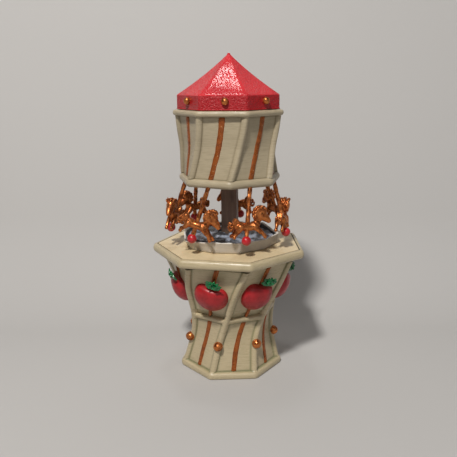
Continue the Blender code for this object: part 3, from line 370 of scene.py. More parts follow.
def glitter_paint(name):
    """Red paint, with painted shade making the upright band a deeper red, over a fine grain with clear glossy
    flecks that sparkle.
    """
    made = Finish(name, (0.66, 0.010, 0.020), 0.4, coat_roughness=0.1)
    made.tint(made.window(made.noise(14), 0.4, 0.7, 0, 0.5), (0.44, 0.006, 0.018))
    # painted shade: the upright band gets less light than the slopes, so it is painted a deeper red
    made.tint(made.window(made.mark("band"), 0.2, 0.8), (0.42, 0.003, 0.009))
    flecks = made.window(made.noise(0.9, (1, 1, 1), 2, 0.6), 0.5, 0.58)
    made.link(flecks, made.shader.inputs["Coat Weight"])
    made.vary("Roughness", made.noise(1.6), 0.32, 0.5)
    grain = made.noise(1.3, (1, 1, 1), 2, 0.6, "ShaderNodeTexVoronoi")
    made.bump(grain, 0.45, 0.9)
    made.bump(made.noise(3.5, (1, 1, 1.4), 4), 0.2, 0.5)
    return made.made


def copper_paint(name, colour, dark_share, metallic):
    """Metallic copper paint, darker in random patches, with painted highlights in lighter patches."""
    made = Finish(name, colour, 0.34, metallic=metallic)
    made.tint(made.window(made.noise(3.2, (1, 1, 1), 4), 0.42, 0.66, 0, dark_share), (0.17, 0.038, 0.010))
    # painted highlight: pale copper patches stand in for glints
    made.tint(made.window(made.noise(1.6, (1, 1, 1), 3), 0.60, 0.76, 0, 0.6), (0.98, 0.50, 0.23))
    made.vary("Roughness", made.noise(2.2), 0.2, 0.5)
    made.bump(made.noise(1.4, (1, 1, 1), 3), 0.1, 0.6)
    return made.made


def slate_paint(name):
    """Dark slate with swirls of blue-grey and pale brush marks."""
    made = Finish(name, (0.035, 0.036, 0.042), 0.45, coat=0.25)
    made.tint(made.window(made.noise(9, (1, 1, 1), 6, 0.7), 0.44, 0.6), (0.13, 0.14, 0.165))
    made.tint(made.window(made.noise(6, (1, 1.6, 1), 5, 0.65), 0.56, 0.68), (0.33, 0.37, 0.46))
    made.tint(made.window(made.mark("pale"), 0.1, 0.9), (0.30, 0.34, 0.42))
    made.vary("Roughness", made.noise(3), 0.3, 0.6)
    made.bump(made.noise(2.4, (1, 1, 1), 6, 0.65), 0.5, 0.7)
    return made.made


def column_paint(name):
    """Grey-brown paint dragged upwards."""
    made = Finish(name, (0.18, 0.115, 0.085), 0.6, coat=0.05)
    strokes = made.noise(2.4, (1, 1, 0.06), 5, 0.65)
    made.tint(made.window(strokes, 0.4, 0.68), (0.22, 0.15, 0.11))
    made.tint(made.window(made.noise(5, (1, 1, 0.2), 4), 0.5, 0.75, 0, 0.7), (0.09, 0.058, 0.042))
    made.vary("Roughness", made.noise(2), 0.45, 0.7)
    made.bump(strokes, 0.3, 0.6)
    return made.made


def basin_paint(name):
    """Off-white paint outside over print layers, paler on the rim as painted light, and slate wherever the inside
    mark says.
    """
    made = Finish(name, (0.52, 0.475, 0.41), 0.5, coat=0.15, coat_roughness=0.3)
    layers = made.noise(7, (1, 1, 12), 5, 0.6)
    made.tint(made.window(layers, 0.42, 0.72, 0, 0.7), (0.40, 0.36, 0.32))
    made.tint(made.window(made.noise(3, (1, 1, 0.5), 4), 0.62, 0.8, 0, 0.5), (0.30, 0.25, 0.22))
    # painted light: the rim's lit top is painted paler than the outside wall, in the same off-white paint
    made.tint(made.window(made.mark("inside"), -0.4, -0.9), (0.80, 0.77, 0.71))
    made.tint(made.window(made.mark("inside"), 0.2, 0.7), (0.06, 0.062, 0.07))
    made.vary("Roughness", made.noise(4), 0.4, 0.65)
    made.bump(layers, 0.35, 0.6)
    return made.made


def machined(name, colour, roughness):
    """Bare metal with fine turning marks and slight tarnish."""
    made = Finish(name, colour, roughness, metallic=1.0)
    darker = tuple(0.55 * part for part in colour)
    made.tint(made.window(made.noise(8, (1, 1, 1), 4), 0.5, 0.75, 0, 0.6), darker)
    made.vary("Roughness", made.noise(1.5, (1, 1, 6), 4), roughness - 0.08, roughness + 0.16)
    made.bump(made.noise(0.8, (1, 1, 8), 3), 0.02, 0.4)
    return made.made


FINISHES = {
    "cream": painted_print("cream_paint", (0.53, 0.44, 0.28), (0.36, 0.30, 0.17), (0.17, 0.18, 0.09), 0.34),
    "deck": paint("deck_paint", (0.74, 0.60, 0.37), (0.58, 0.45, 0.26), 0.42, 16, 0.2, 0.08),
    "canopy": painted_print(
        "canopy_paint", (0.44, 0.37, 0.25), (0.28, 0.23, 0.145), (0.16, 0.13, 0.075), 0.42
    ),
    "red_roof": glitter_paint("red_glitter_paint"),
    "copper": copper_paint("copper_paint", (0.60, 0.20, 0.058), 0.9, 0.85),
    "copper_trim": copper_paint("copper_trim_paint", (0.37, 0.098, 0.018), 0.6, 0.45),
    "apple_red": paint(
        "apple_paint", (0.40, 0.008, 0.013), (0.22, 0.003, 0.005), 0.42, 7, 0.15, 0.12, (0.52, 0.035, 0.03)
    ),
    "leaf_green": paint("leaf_paint", (0.004, 0.19, 0.055), (0.001, 0.06, 0.02), 0.32, 2.6, 0.35, 0.12),
    "ball_red": paint("ball_paint", (0.52, 0.012, 0.02), (0.32, 0.006, 0.012), 0.34, 3, 0.35, 0.1),
    "basin_white": basin_paint("basin_paint"),
    "rock_grey": slate_paint("slate_paint"),
    "column_grey": column_paint("column_paint"),
    "steel": machined("steel_finish", (0.55, 0.55, 0.57), 0.3),
    "brass": machined("brass_finish", (0.72, 0.50, 0.20), 0.3),
    "shelf": painted_print("shelf_print", (0.25, 0.23, 0.20), (0.18, 0.165, 0.145), (0.1, 0.1, 0.09), 0.6),
}


# ---- walls with ribs at their corners ----
CORNER_PLACES = (0, 0.45, 1.0, 1.7, 2.3, 2.9, 3.4, 3.7, 3.9, 4.05, 4.5, 5.4)
MIDDLE_SHARES = (0.25, 0.5, 0.75, 1)
RIB_HALF = 4.0


def side_places(length):
    """Distances from one corner to the next, close together near both."""
    last = CORNER_PLACES[-1]
    first = list(CORNER_PLACES) + [last + (length / 2 - last) * share for share in MIDDLE_SHARES]
    return first + [length - place for place in reversed(first[1:-1])]


def wall_ring(corner_r, height, angle, offset):
    """One level of a seven-sided wall. Offset gives the way out of a side, from how near a corner is."""
    ring = []
    for k in range(SIDES):
        corner = polar(corner_r, height, angle + k * STEP)
        following = polar(corner_r, height, angle + (k + 1) * STEP)
        length = (following - corner).length
        along = (following - corner) / length
        outward = Vector((along.y, -along.x, 0))
        for place in side_places(length):
            near = min(place, length - place)
            if place == 0:
                ring.append(polar(corner_r + offset(0) / FLAT, height, angle + k * STEP))
            else:
                ring.append(corner + along * place + outward * offset(near))
    return ring


def rib_offset(depth):
    """A round rib at the corner and a panel that lies this deep beside it."""

    def offset(near):
        if near >= RIB_HALF:
            return -depth
        dome = (1 - (near / RIB_HALF) ** 2.1) ** 0.55
        return -depth + depth * dome - 0.28 * max(0, 1 - near / 1.6) ** 2

    return offset


def plain_offset(near):
    return 0.0


def bead_offset(less):
    """A plain side whose corner is rounded, this far inside the full size."""

    def offset(near):
        return 0.25 - less - 0.5 * max(0, 1 - near / 2.6) ** 2

    return offset


def crossed_bead_offset(less):
    """A bead between the ribs, which run on across it."""
    rib, bead = rib_offset(PANEL_DEPTH), 0.35 + less
    return lambda near: max(rib(near), -bead)


def rib_r(z):
    return smooth_through(RIB_CURVE, z)


def twist(z):
    return smooth_through(TWIST_CURVE, z)


def inner_r(z):
    return rib_r(z) - (PANEL_DEPTH + WALL) / FLAT


def canopy_r(z):
    return smooth_through(CANOPY_CURVE, z)


def canopy_twist(z):
    return smooth_through(CANOPY_TWIST, z)


class Wall:
    """Rings of a wall and, for each of their points, a mark for its darker wash and painted shade."""

    def __init__(self):
        self.rings = []
        self.recess_wash_and_shade = []

    def add(self, corner_r, z, angle, offset, recess_wash_and_shade=None):
        self.rings.append(wall_ring(corner_r, z, angle, offset))
        corner = polar(corner_r, z, angle)
        following = polar(corner_r, z, angle + STEP)
        values = []
        for place in side_places((following - corner).length):
            near = min(place, (following - corner).length - place)
            values.append(recess_wash_and_shade(near) if recess_wash_and_shade else 0.0)
        self.recess_wash_and_shade += values * SIDES

    def mesh(self, name, finish, closed):
        points, faces = skin(self.rings, closed)
        return mesh_of(name, points, faces, finish, 60, {"recess_wash_and_shade": self.recess_wash_and_shade})


def panel_wash_and_shade(beside_rib, at_end, edge, wide):
    """The darker wash and painted shade in a panel beside its ribs and near its ends, the nearest of which is edge
    away.
    """
    end_share = at_end * (1 - min(1, edge / wide))

    def wash_and_shade(near):
        if near <= 2:
            return 0.0
        return max(beside_rib * max(0, 1 - abs(near - RIB_HALF - 0.1) / 1.6), end_share)

    return wash_and_shade


def bead_levels(low, high, bulge, count=7):
    """(height, how far inside the full size) over a half-round bead."""
    middle, half = (low + high) / 2, (high - low) / 2
    levels = []
    for t in spread(-0.97, 0.97, count):
        levels.append((middle + half * t, bulge * (1 - sqrt(1 - t * t))))
    return levels


def make_base():
    """The pedestal from its foot up to the rim, and down again inside."""
    wall = Wall()
    for z, less in ((0, 0.9), (0.35, 0.35), (1.0, 0.05), (2.2, 0), (3.4, 0.1), (4.2, 0.5), (4.7, 1.1)):
        wall.add(FOOT_R, z, FOOT_ANGLE, bead_offset(less))
    waist_low, waist_high = WAIST_Z - WAIST_HALF, WAIST_Z + WAIST_HALF
    low = FOOT_TOP + 0.1
    # darker wash and painted shade beside the ribs and towards the foot and the waist
    for z in spread(low, waist_low - 0.2, 40):
        wash_and_shade = panel_wash_and_shade(0.8, 1, min(z - low, waist_low - z), 1.6)
        wall.add(rib_r(z), z, twist(z), rib_offset(PANEL_DEPTH), wash_and_shade)
    for z, less in bead_levels(waist_low, waist_high, 1.8, 9):
        wall.add(rib_r(z), z, twist(z), crossed_bead_offset(less))
    slot_low, slot_high = waist_high + 0.2, waist_high + 3.9
    # painted shade in the waist slot
    for z in spread(slot_low, slot_high, 4):
        wall.add(rib_r(z), z, twist(z), rib_offset(SLOT_DEPTH), lambda near: 0.3 if near > 3.8 else 0.0)
    low = slot_high + 0.35
    # darker wash and painted shade beside the ribs and under the rim
    for z in spread(low, RIB_TOP - 1.9, 40):
        wash_and_shade = panel_wash_and_shade(0.8, 0.4, min(z - low, (RIB_TOP - z) * 0.8), 1.2)
        wall.add(rib_r(z), z, twist(z), rib_offset(PANEL_DEPTH), wash_and_shade)
    neck = rib_r(RIB_TOP) - PANEL_DEPTH / FLAT
    # painted shadow, nearly black, where the rib tops meet the rim, and painted shade under the rest of the rim
    for z in (RIB_TOP - 1.6, RIM_BOTTOM - 0.3):
        wall.add(neck, z, twist(RIB_TOP), bead_offset(0.9), lambda near: 2.4 if near < 5 else 0.8)
    wall.add(neck + 0.9, RIM_BOTTOM - 0.05, DECK_ANGLE, bead_offset(0), lambda near: 0.8)
    for z, less in (
        (0.05, 2.0), (0.5, 1.0), (1.2, 0.4), (2.2, 0.05), (3.4, 0),
        (4.5, 0.2), (5.4, 0.65), (6.1, 1.35), (6.5, 2.2),
    ):
        wall.add(RIM_R, RIM_BOTTOM + z, DECK_ANGLE, bead_offset(less * FLAT))
    ledge = DECK_Z - LID_THICK - 0.3
    seam_wall = ((LID_R + 0.5, DECK_Z - 0.25), (LID_R + 0.45, ledge), (LID_R - 5, ledge))
    wall.add(LID_R + 0.75, DECK_Z - 0.02, DECK_ANGLE, plain_offset)
    # painted shadow, nearly black, down the seam round the lid
    for r, z in seam_wall:
        wall.add(r, z, DECK_ANGLE, plain_offset, lambda near: 2.0)
    for z in spread(RIB_TOP, SHELF_Z, 6):
        wall.add(inner_r(z), z, twist(z), plain_offset)
    below = SHELF_Z - 3.5
    wall.add(inner_r(SHELF_Z) - 3, SHELF_Z, twist(SHELF_Z), plain_offset)
    wall.add(inner_r(below) - 1.2, below, twist(below), plain_offset)
    for z in spread(below - 6, 0, 9):
        wall.add(inner_r(z), z, twist(z) if z else FOOT_ANGLE, plain_offset)
    piece("base_body", wall.mesh("base_body", FINISHES["cream"], True), "pedestal", ["base_shell"])


def strip_mesh(name, middle, low, high, halves, height, seed):
    """A raised copper band up the middle of a side, half as wide as halves say at its foot and its top.

    Middle gives a point on the side, its way along and its way out.
    """
    edge = [(-1.12, -0.35), (-1.0, 0.15), (-0.85, 0.7), (-0.5, 0.95)]
    across = edge + [(0, 1)] + [(-side, up) for side, up in reversed(edge)]
    rings = []
    for z in spread(low, high, int((high - low) / 0.9)):
        point, along, outward = middle(z)
        half = halves[0] + (halves[1] - halves[0]) * (z - low) / (high - low)
        wide = half * (1 + 0.16 * rough((0, seed, z), 5))
        drift = 0.3 * rough((seed, 3, z), 9)
        tall = height * (1 + 0.2 * rough((seed, z, 2), 4))
        end = min(1, 0.35 + (z - low) / 1.2, 0.35 + (high - z) / 1.2)
        ring = []
        for side, up in across:
            ring.append(point + along * (wide * side * end + drift) + outward * (tall * up * end - 0.1))
        rings.append(ring)
    return mesh_of(name, *skin(rings), FINISHES["copper_trim"], 75)


def panel_point(radius, turn, depth):
    """What strip_mesh needs to follow the middle of a wall's first side."""

    def middle(z):
        angle = turn(z) + STEP / 2
        outward = polar(1, 0, angle)
        along = polar(1, 0, angle + 90)
        return polar(radius(z) * FLAT - depth, z, angle), along, outward

    return middle


def make_base_trim():
    """The stripes below the waist, the rods above it and the balls on the ribs."""
    middle = panel_point(rib_r, twist, PANEL_DEPTH)
    low, high = FOOT_TOP - 0.3, WAIST_Z - WAIST_HALF + 0.3
    stripe = strip_mesh("base_stripe", middle, low, high, (1.9, 1.9), 0.7, 1.0)
    seven("base_stripe", stripe, "pedestal")
    low, high = WAIST_Z + WAIST_HALF + 0.2, RIB_TOP - 0.5
    rod = strip_mesh("base_rod", middle, low, high, (1.2, 1.89), 1.6, 4.0)
    seven("base_rod", rod, "pedestal")
    centre = polar(rib_r(BASE_BALL_Z) - 0.3, BASE_BALL_Z, twist(BASE_BALL_Z))
    ball = uneven_ball("base_ball", centre, BASE_BALL_R, FINISHES["copper"], (0.12, 2.5, 2))
    seven("base_ball", ball, "pedestal")


def make_canopy():
    """The drum between its two beads, open at the top under the roof, and its stripes."""
    wall = Wall()
    low_angle, high_angle = canopy_twist(150), canopy_twist(198)
    wall.add(CANOPY_LOW_R - 3.4, CANOPY_BOTTOM, low_angle, bead_offset(0))
    for z, less in bead_levels(CANOPY_BOTTOM, CANOPY_BOTTOM + LOWER_BEAD, 2.6, 10):
        wall.add(CANOPY_LOW_R, z, low_angle, bead_offset(less))
    low, high = CANOPY_BOTTOM + LOWER_BEAD + 0.05, CANOPY_TOP - UPPER_BEAD - 0.05
    # darker wash and painted shade beside the ribs and towards both beads
    for z in spread(low, high, 46):
        wash_and_shade = panel_wash_and_shade(0.55, 0.8, min(z - low, high - z), 1.4)
        wall.add(canopy_r(z), z, canopy_twist(z), rib_offset(PANEL_DEPTH), wash_and_shade)
    for z, less in bead_levels(CANOPY_TOP - UPPER_BEAD, CANOPY_TOP, 1.7, 9):
        wall.add(CANOPY_TOP_R, z, high_angle, bead_offset(less))
    inset = (PANEL_DEPTH + CANOPY_WALL) / FLAT
    for z in spread(CANOPY_TOP, CANOPY_BOTTOM + CANOPY_FLOOR, 6):
        wall.add(canopy_r(z) - inset, z, canopy_twist(z), plain_offset)
    mesh = wall.mesh("canopy_body", FINISHES["canopy"], False)
    piece("canopy_body", mesh, "carousel", ["canopy_drum"])
    middle = panel_point(canopy_r, canopy_twist, PANEL_DEPTH)
    stripe = strip_mesh("canopy_stripe", middle, low - 0.4, high + 0.4, (2.05, 2.05), 0.8, 7.0)
    seven("canopy_stripe", stripe, "carousel")


def make_roof():
    """The pyramid with its slopes curved in a little, on an upright band with round knobs."""
    low = CANOPY_TOP + 0.3
    rings = []

    def ring(radius, z, round_in=0.4):
        """Evenly divided sides with a soft corner."""
        made = []
        for k in range(SIDES):
            corner = polar(radius, z, ROOF_ANGLE + k * STEP)
            following = polar(radius, z, ROOF_ANGLE + (k + 1) * STEP)
            outward = polar(1, 0, ROOF_ANGLE + (k + 0.5) * STEP)
            for share in (0.02, 0.06, 0.14, 0.26, 0.38, 0.5, 0.62, 0.74, 0.86, 0.94, 0.98):
                sag = 0.25 * sin(pi * share) * radius / ROOF_R
                soft = round_in * (max(0, 1 - share / 0.06) + max(0, 1 - (1 - share) / 0.06))
                made.append(corner.lerp(following, share) - outward * (sag + soft * 0.3))
        return made

    for r, z in ((-0.4, 0), (0.25, 0.12), (0.4, 0.4), (0.3, 0.75), (0, 0.95)):
        rings.append(ring(ROOF_R + r, low + z))
    for z in spread(low + 1.6, ROOF_BAND_TOP - 0.5, 8):
        rings.append(ring(ROOF_R, z))
    rings.append(ring(ROOF_R - 0.15, ROOF_BAND_TOP - 0.1))
    rise = HEIGHT - ROOF_BAND_TOP
    for t in spread(0.015, 0.96, 34):
        rings.append(ring(ROOF_R * (1 - t) * (1 - 0.2 * t), ROOF_BAND_TOP + rise * t))
    rings.append(ring(1.15, HEIGHT - 0.5, 0.1))
    rings.append(ring(0.6, HEIGHT - 0.08, 0.1))
    inside = [
        (4, ROOF_BAND_TOP + 0.74 * rise), (ROOF_R - 3.2, ROOF_BAND_TOP - 1), (ROOF_R - ROOF_WALL / FLAT, low),
    ]
    count = len(rings[0])
    points, faces = skin(rings, False, False)
    start = len(points)
    for r, z in inside:
        points += ring(r, z)
    band = [1.0 if point.z < ROOF_BAND_TOP - 0.3 else 0.0 for point in points]
    faces.append(tuple((len(rings) - 1) * count + i for i in range(count)))
    faces.append(tuple(start + i for i in range(count)))
    for a, b in ((start, start + count), (start + count, start + 2 * count), (start + 2 * count, 0)):
        for i in range(count):
            j = (i + 1) % count
            faces.append((a + i, a + j, b + j, b + i))
    mesh = mesh_of("roof_shell", points, faces, FINISHES["red_roof"], 22, {"band": band})
    piece("roof_shell", mesh, "carousel", ["roof"])
    centre = polar(KNOB_REACH, KNOB_Z, ROOF_ANGLE + KNOB_TURN + STEP / 2)
    knob = uneven_ball("roof_knob", centre, KNOB_R, FINISHES["copper"], (0.1, 2, 5))
    seven("roof_knob", knob, "carousel")


# ---- apples ----
def panel_frame(z):
    """At the middle of a side of the pedestal: X along the side, Y up it, Z outwards."""

    def spot(height):
        return polar(rib_r(height) * FLAT - PANEL_DEPTH, height, twist(height) - STEP / 2)

    up = (spot(z + 2) - spot(z - 2)).normalized()
    sideways = (polar(1, 0, twist(z)) - polar(1, 0, twist(z) - STEP)).normalized()
    outward = sideways.cross(up).normalized()
    turn = Matrix((up.cross(outward), up, outward)).transposed()
    return Matrix.Translation(spot(z)) @ turn.to_4x4()


def apple_surface(up, around):
    """A point of the apple: up from -pi/2 at its bottom to pi/2 in the dimple, around from its right edge."""
    radius = cos(up)
    lift = sin(up)
    shoulder = 1 + 0.05 * max(0, lift) - 0.10 * max(0, -lift) ** 1.5
    lobes = 1 + 0.018 * cos(5 * around + 0.4) * radius
    dimple = 0.30 * max(0, lift) ** 6
    return Vector((
        APPLE_HALF_WIDTH * radius * cos(around) * shoulder * lobes,
        APPLE_HALF_HEIGHT * (lift - dimple),
        APPLE_REACH * radius * sin(around) * shoulder * lobes,
    ))


def make_apples():
    place = panel_frame(APPLE_Z)
    steps = 48
    rings = []
    for up in spread(-pi / 2 + 0.05, pi / 2 - 0.05, 30):
        ring = []
        for j in range(steps):
            point = apple_surface(up, 2 * pi * j / steps)
            point += point.normalized() * 0.18 * rough(point, 5, 3)
            point.z = max(point.z, -0.6)
            ring.append(place @ point)
        rings.append(ring)
    apple = mesh_of("apple_body", *skin(rings), FINISHES["apple_red"], 80)
    seven("apple_body", apple, "pedestal", "apple")
    seven("apple_leaves", leaf_mesh(place), "pedestal", "leaf")


def leaf_mesh(place):
    """A cluster of small pointed leaves with folded veins, spread over the apple's dimple."""
    points, faces = [], []

    def add(new_points, new_faces):
        start = len(points)
        points.extend(new_points)
        faces.extend(tuple(start + i for i in face) for face in new_faces)

    root = Vector((2.0, APPLE_HALF_HEIGHT + 1.9, APPLE_REACH * 0.52))
    for turn, length, width, lift in (
        (8, 5.4, 1.7, 1.6), (-28, 5.0, 1.7, 0.7), (42, 4.6, 1.5, 2.2), (78, 3.4, 1.3, 1.4),
        (122, 3.6, 1.3, 2.0), (158, 5.0, 1.6, 1.5), (196, 5.2, 1.7, 0.9), (232, 4.0, 1.5, 0.5),
        (-68, 3.8, 1.5, 0.4), (25, 3.0, 1.3, 3.0), (172, 2.8, 1.3, 2.8), (270, 2.6, 1.3, 1.8),
    ):
        ahead = Vector((cos(radians(turn)), sin(radians(turn)), 0))
        beside = Vector((-ahead.y, ahead.x, 0))
        rows, columns = 9, 7
        top, bottom = [], []
        for i in range(rows):
            t = i / (rows - 1)
            wide = width * sin(pi * min(1, 0.12 + 0.88 * t) ** 0.8) ** 0.8 + 0.08
            rise = lift * sin(pi * 0.55 * t) * 1.2 - 1.6 * t * t
            for j in range(columns):
                u = 2 * j / (columns - 1) - 1
                fold = -0.35 * (1 - abs(u)) ** 2 + 0.25 * u * u
                ripple = 0.18 * sin(9 * t + 2 * u)
                centre = root + ahead * (1.22 * length * t) + beside * (1.36 * wide * u)
                centre.z += rise - fold * -0.6 + ripple
                top.append(place @ (centre + Vector((0, 0, 0.4))))
                bottom.append(place @ (centre - Vector((0, 0, 0.35))))
        grid = []
        count = rows * columns
        for i in range(rows - 1):
            for j in range(columns - 1):
                a = i * columns + j
                grid.append((a, a + 1, a + columns + 1, a + columns))
                grid.append((count + a, count + a + columns, count + a + columns + 1, count + a + 1))
        rim = list(range(columns)) + [i * columns + columns - 1 for i in range(1, rows)]
        rim += [(rows - 1) * columns + j for j in reversed(range(columns - 1))]
        rim += [i * columns for i in reversed(range(1, rows - 1))]
        for a, b in zip(rim, rim[1:] + rim[:1]):
            grid.append((a, b, count + b, count + a))
        add(top + bottom, grid)
    return mesh_of("apple_leaves", points, faces, FINISHES["leaf_green"], 60)


# ---- basin and rocks ----
def basin_ring(share, inset=0.0, drop=0.0):
    """The basin's outline some share of the way from its foot to its rim."""
    corners = []
    for angle, low, high, top in BASIN_OUTLINE:
        radius = low + (high - low) * share ** 1.4 - inset
        corners.append(polar(radius, BASIN_LOW + (top - drop - BASIN_LOW) * share, angle))
    ring = []
    for i, corner in enumerate(corners):
        following = corners[(i + 1) % len(corners)]
        for j in range(14):
            ring.append(corner.lerp(following, j / 14))
    for _ in range(2):
        following = ring[1:] + ring[:1]
        ring = [point * 0.5 + (ring[i - 1] + following[i]) * 0.25 for i, point in enumerate(ring)]
    for point in ring:
        flat = Vector((point.x, point.y, 0))
        wave = 0.5 * rough(flat, 7, 6) + 0.3 * rough(flat, 2.6, 9)
        point.z += 0.9 * wave * share ** 3
        way = flat.normalized()
        point += way * (0.5 * wave * share + 0.12 * rough((point.x, point.y, point.z * 3), 2.2, 4))
    return ring


def make_basin():
    """The basin's wall. Its inside mark is -1 on the rim, which is painted paler as painted light, 0 on the
    outside and 1 on the inside.
    """
    rings, inside = [], []
    outside = [(share, 0, 0, 0) for share in (0.06, 0.2, 0.35, 0.5, 0.65, 0.8, 0.92)]
    rim = [(0.98, 0.05, 0, -1), (1, 0.3, 0, -1), (1, 0.8, -0.1, -1), (0.99, 1.15, 0, -1)]
    rim.append((0.95, BASIN_WALL, 0, -0.9))
    down = [(share, BASIN_WALL, 0, 1) for share in (0.86, 0.76, 0.6, 0.4, 0.25)]
    for share, inset, drop, within in [(0, 0.3, 0, 0)] + outside + rim + down:
        ring = basin_ring(share, inset, drop)
        rings.append(ring)
        inside.extend([within] * len(ring))
    mesh = mesh_of("basin_wall", *skin(rings), FINISHES["basin_white"], 70, {"inside": inside})
    piece("basin_wall", mesh, "pedestal", ["basin"])


def reach_at(track, angle):
    """The distance at one angle, from sorted (angle, distance) pairs."""
    i = next(i for i in range(1, len(track)) if track[i][0] >= angle)
    (start, low), (end, high) = track[i - 1], track[i]
    return low + (high - low) * (angle - start) / max(end - start, 0.001)


def make_rocks():
    """Rough stone and frozen swirls of water, heaped up round the column."""
    steps, rows = 220, 56
    wall = basin_ring(0.55, BASIN_WALL + 0.1)
    edge_track = sorted((degrees(atan2(point.x, -point.y)), point.xy.length) for point in wall)
    (first, first_reach), (last, last_reach) = edge_track[0], edge_track[-1]
    edge_track = [(last - 360, last_reach)] + edge_track + [(first + 360, first_reach)]
    points, pale, faces = [], [], []
    for row in range(rows):
        t = row / (rows - 1)
        for i in range(steps):
            angle = 360 * i / steps
            reach = reach_at(edge_track, (angle + 180) % 360 - 180)
            flat = polar(ROCK_HOLE_R + (reach - ROCK_HOLE_R) * t, 0, angle)
            bent = flat + Vector((4 * rough(flat, 9, 5), 4 * rough(flat, 9, 7), 0))
            wave = sin(0.9 * bent.length + 2.2 * radians(angle)) * (0.3 + 0.7 * abs(rough(bent, 8, 3)))
            boulder = max(0, 1 - (flat - polar(*BOULDER)).length / BOULDER_R)
            height = ROCK_PEAK - ROCK_FALL * t ** 0.7 + 0.7 * wave + 2.2 * boulder
            height += 0.5 * rough(flat, 3, 2) + (0.25 + 1.2 * boulder) * abs(rough(flat, 1.6, 8))
            edge = min(1, 0.35 + t * 14, 0.35 + (1 - t) * 10)
            points.append(Vector((flat.x, flat.y, ROCK_LOW + height * edge)))
            pale.append(max(0.0, min(1.0, 0.45 + 0.5 * wave + 0.8 * rough(bent, 6, 4) - 2.5 * boulder)))
    top = len(points)
    for row in (0, rows - 1):
        for i in range(steps):
            above = points[row * steps + i]
            points.append(Vector((above.x, above.y, ROCK_LOW)))
            pale.append(0.0)
    for row in range(rows - 1):
        for i in range(steps):
            j = (i + 1) % steps
            a, b = row * steps, (row + 1) * steps
            faces.append((a + i, a + j, b + j, b + i))
    outer = (rows - 1) * steps
    for i in range(steps):
        j = (i + 1) % steps
        faces.append((i, j, top + j, top + i))
        faces.append((outer + i, outer + j, top + steps + j, top + steps + i))
        faces.append((top + i, top + j, top + steps + j, top + steps + i))
    mesh = mesh_of("basin_rockwork", points, faces, FINISHES["rock_grey"], 40, {"pale": pale})
    piece("basin_rockwork", mesh, "pedestal", ["basin_rocks"])


# ---- poles, balls and horses ----
def make_poles():
    """Each pole is wound like a rope and runs from its red ball up into the canopy."""
    low, high = polar(*POLE_LOW), polar(*POLE_HIGH)
    way = (high - low).normalized()
    length = (high - low).length
    turn = frame_along(way)
    steps = 20
    rings = []
    for along in spread(0.3, length - 0.3, 90):
        ring = []
        for j in range(steps):
            around = 2 * pi * j / steps
            wound = 0.15 * sin(4 * around + 2 * pi * along / 7)
            radius = POLE_R - 0.12 + wound + 0.05 * rough((cos(around), sin(around), along / 2), 1, 2)
            ring.append(low + turn @ Vector((radius * cos(around), radius * sin(around), along)))
        rings.append(ring)
    rope = mesh_of("pole_rope", *skin(rings), FINISHES["copper"], 70)
    seven("pole_rope", rope, "carousel", "pole")
    ball = uneven_ball("pole_ball", low, RED_BALL_R, FINISHES["ball_red"], (0.1, 3, 8), 28, 18)
    seven("pole_ball", ball, "carousel", "red_ball")


def horse_frame():
    """At the first horse's middle: X the way it travels, Y towards the axis, Z up."""
    low, high = polar(*POLE_LOW), polar(*POLE_HIGH)
    saddle = low + (high - low).normalized() * HORSE_ALONG_POLE
    angle = degrees(atan2(saddle.x, -saddle.y))
    forward = Vector((cos(radians(angle)), sin(radians(angle)), 0))
    up = Vector((0, 0, 1))
    turn = Matrix((forward, up.cross(forward), up)).transposed()
    return Matrix.Translation(saddle) @ turn.to_4x4()


def mane_curl(crown, around, side, reach, flip):
    """Spots of one curl of the mane, on the head's outline at an angle, in the middle or to a side."""
    way = Vector((cos(around), 0, sin(around)))
    beside = Vector((-way.z, 0, way.x))
    base = crown + way * 4.5 * reach + Vector((0, 2.6 * side, 0))
    spots = []
    for turn in spread(0, 1.5 * pi, 5):
        spot = base + way * (0.4 + 0.95 * sin(turn)) + beside * (0.95 * cos(turn))
        spots.append((spot.x, spot.y + flip * 0.5 * sin(turn), spot.z, 0.76 - 0.06 * turn))
    return spots


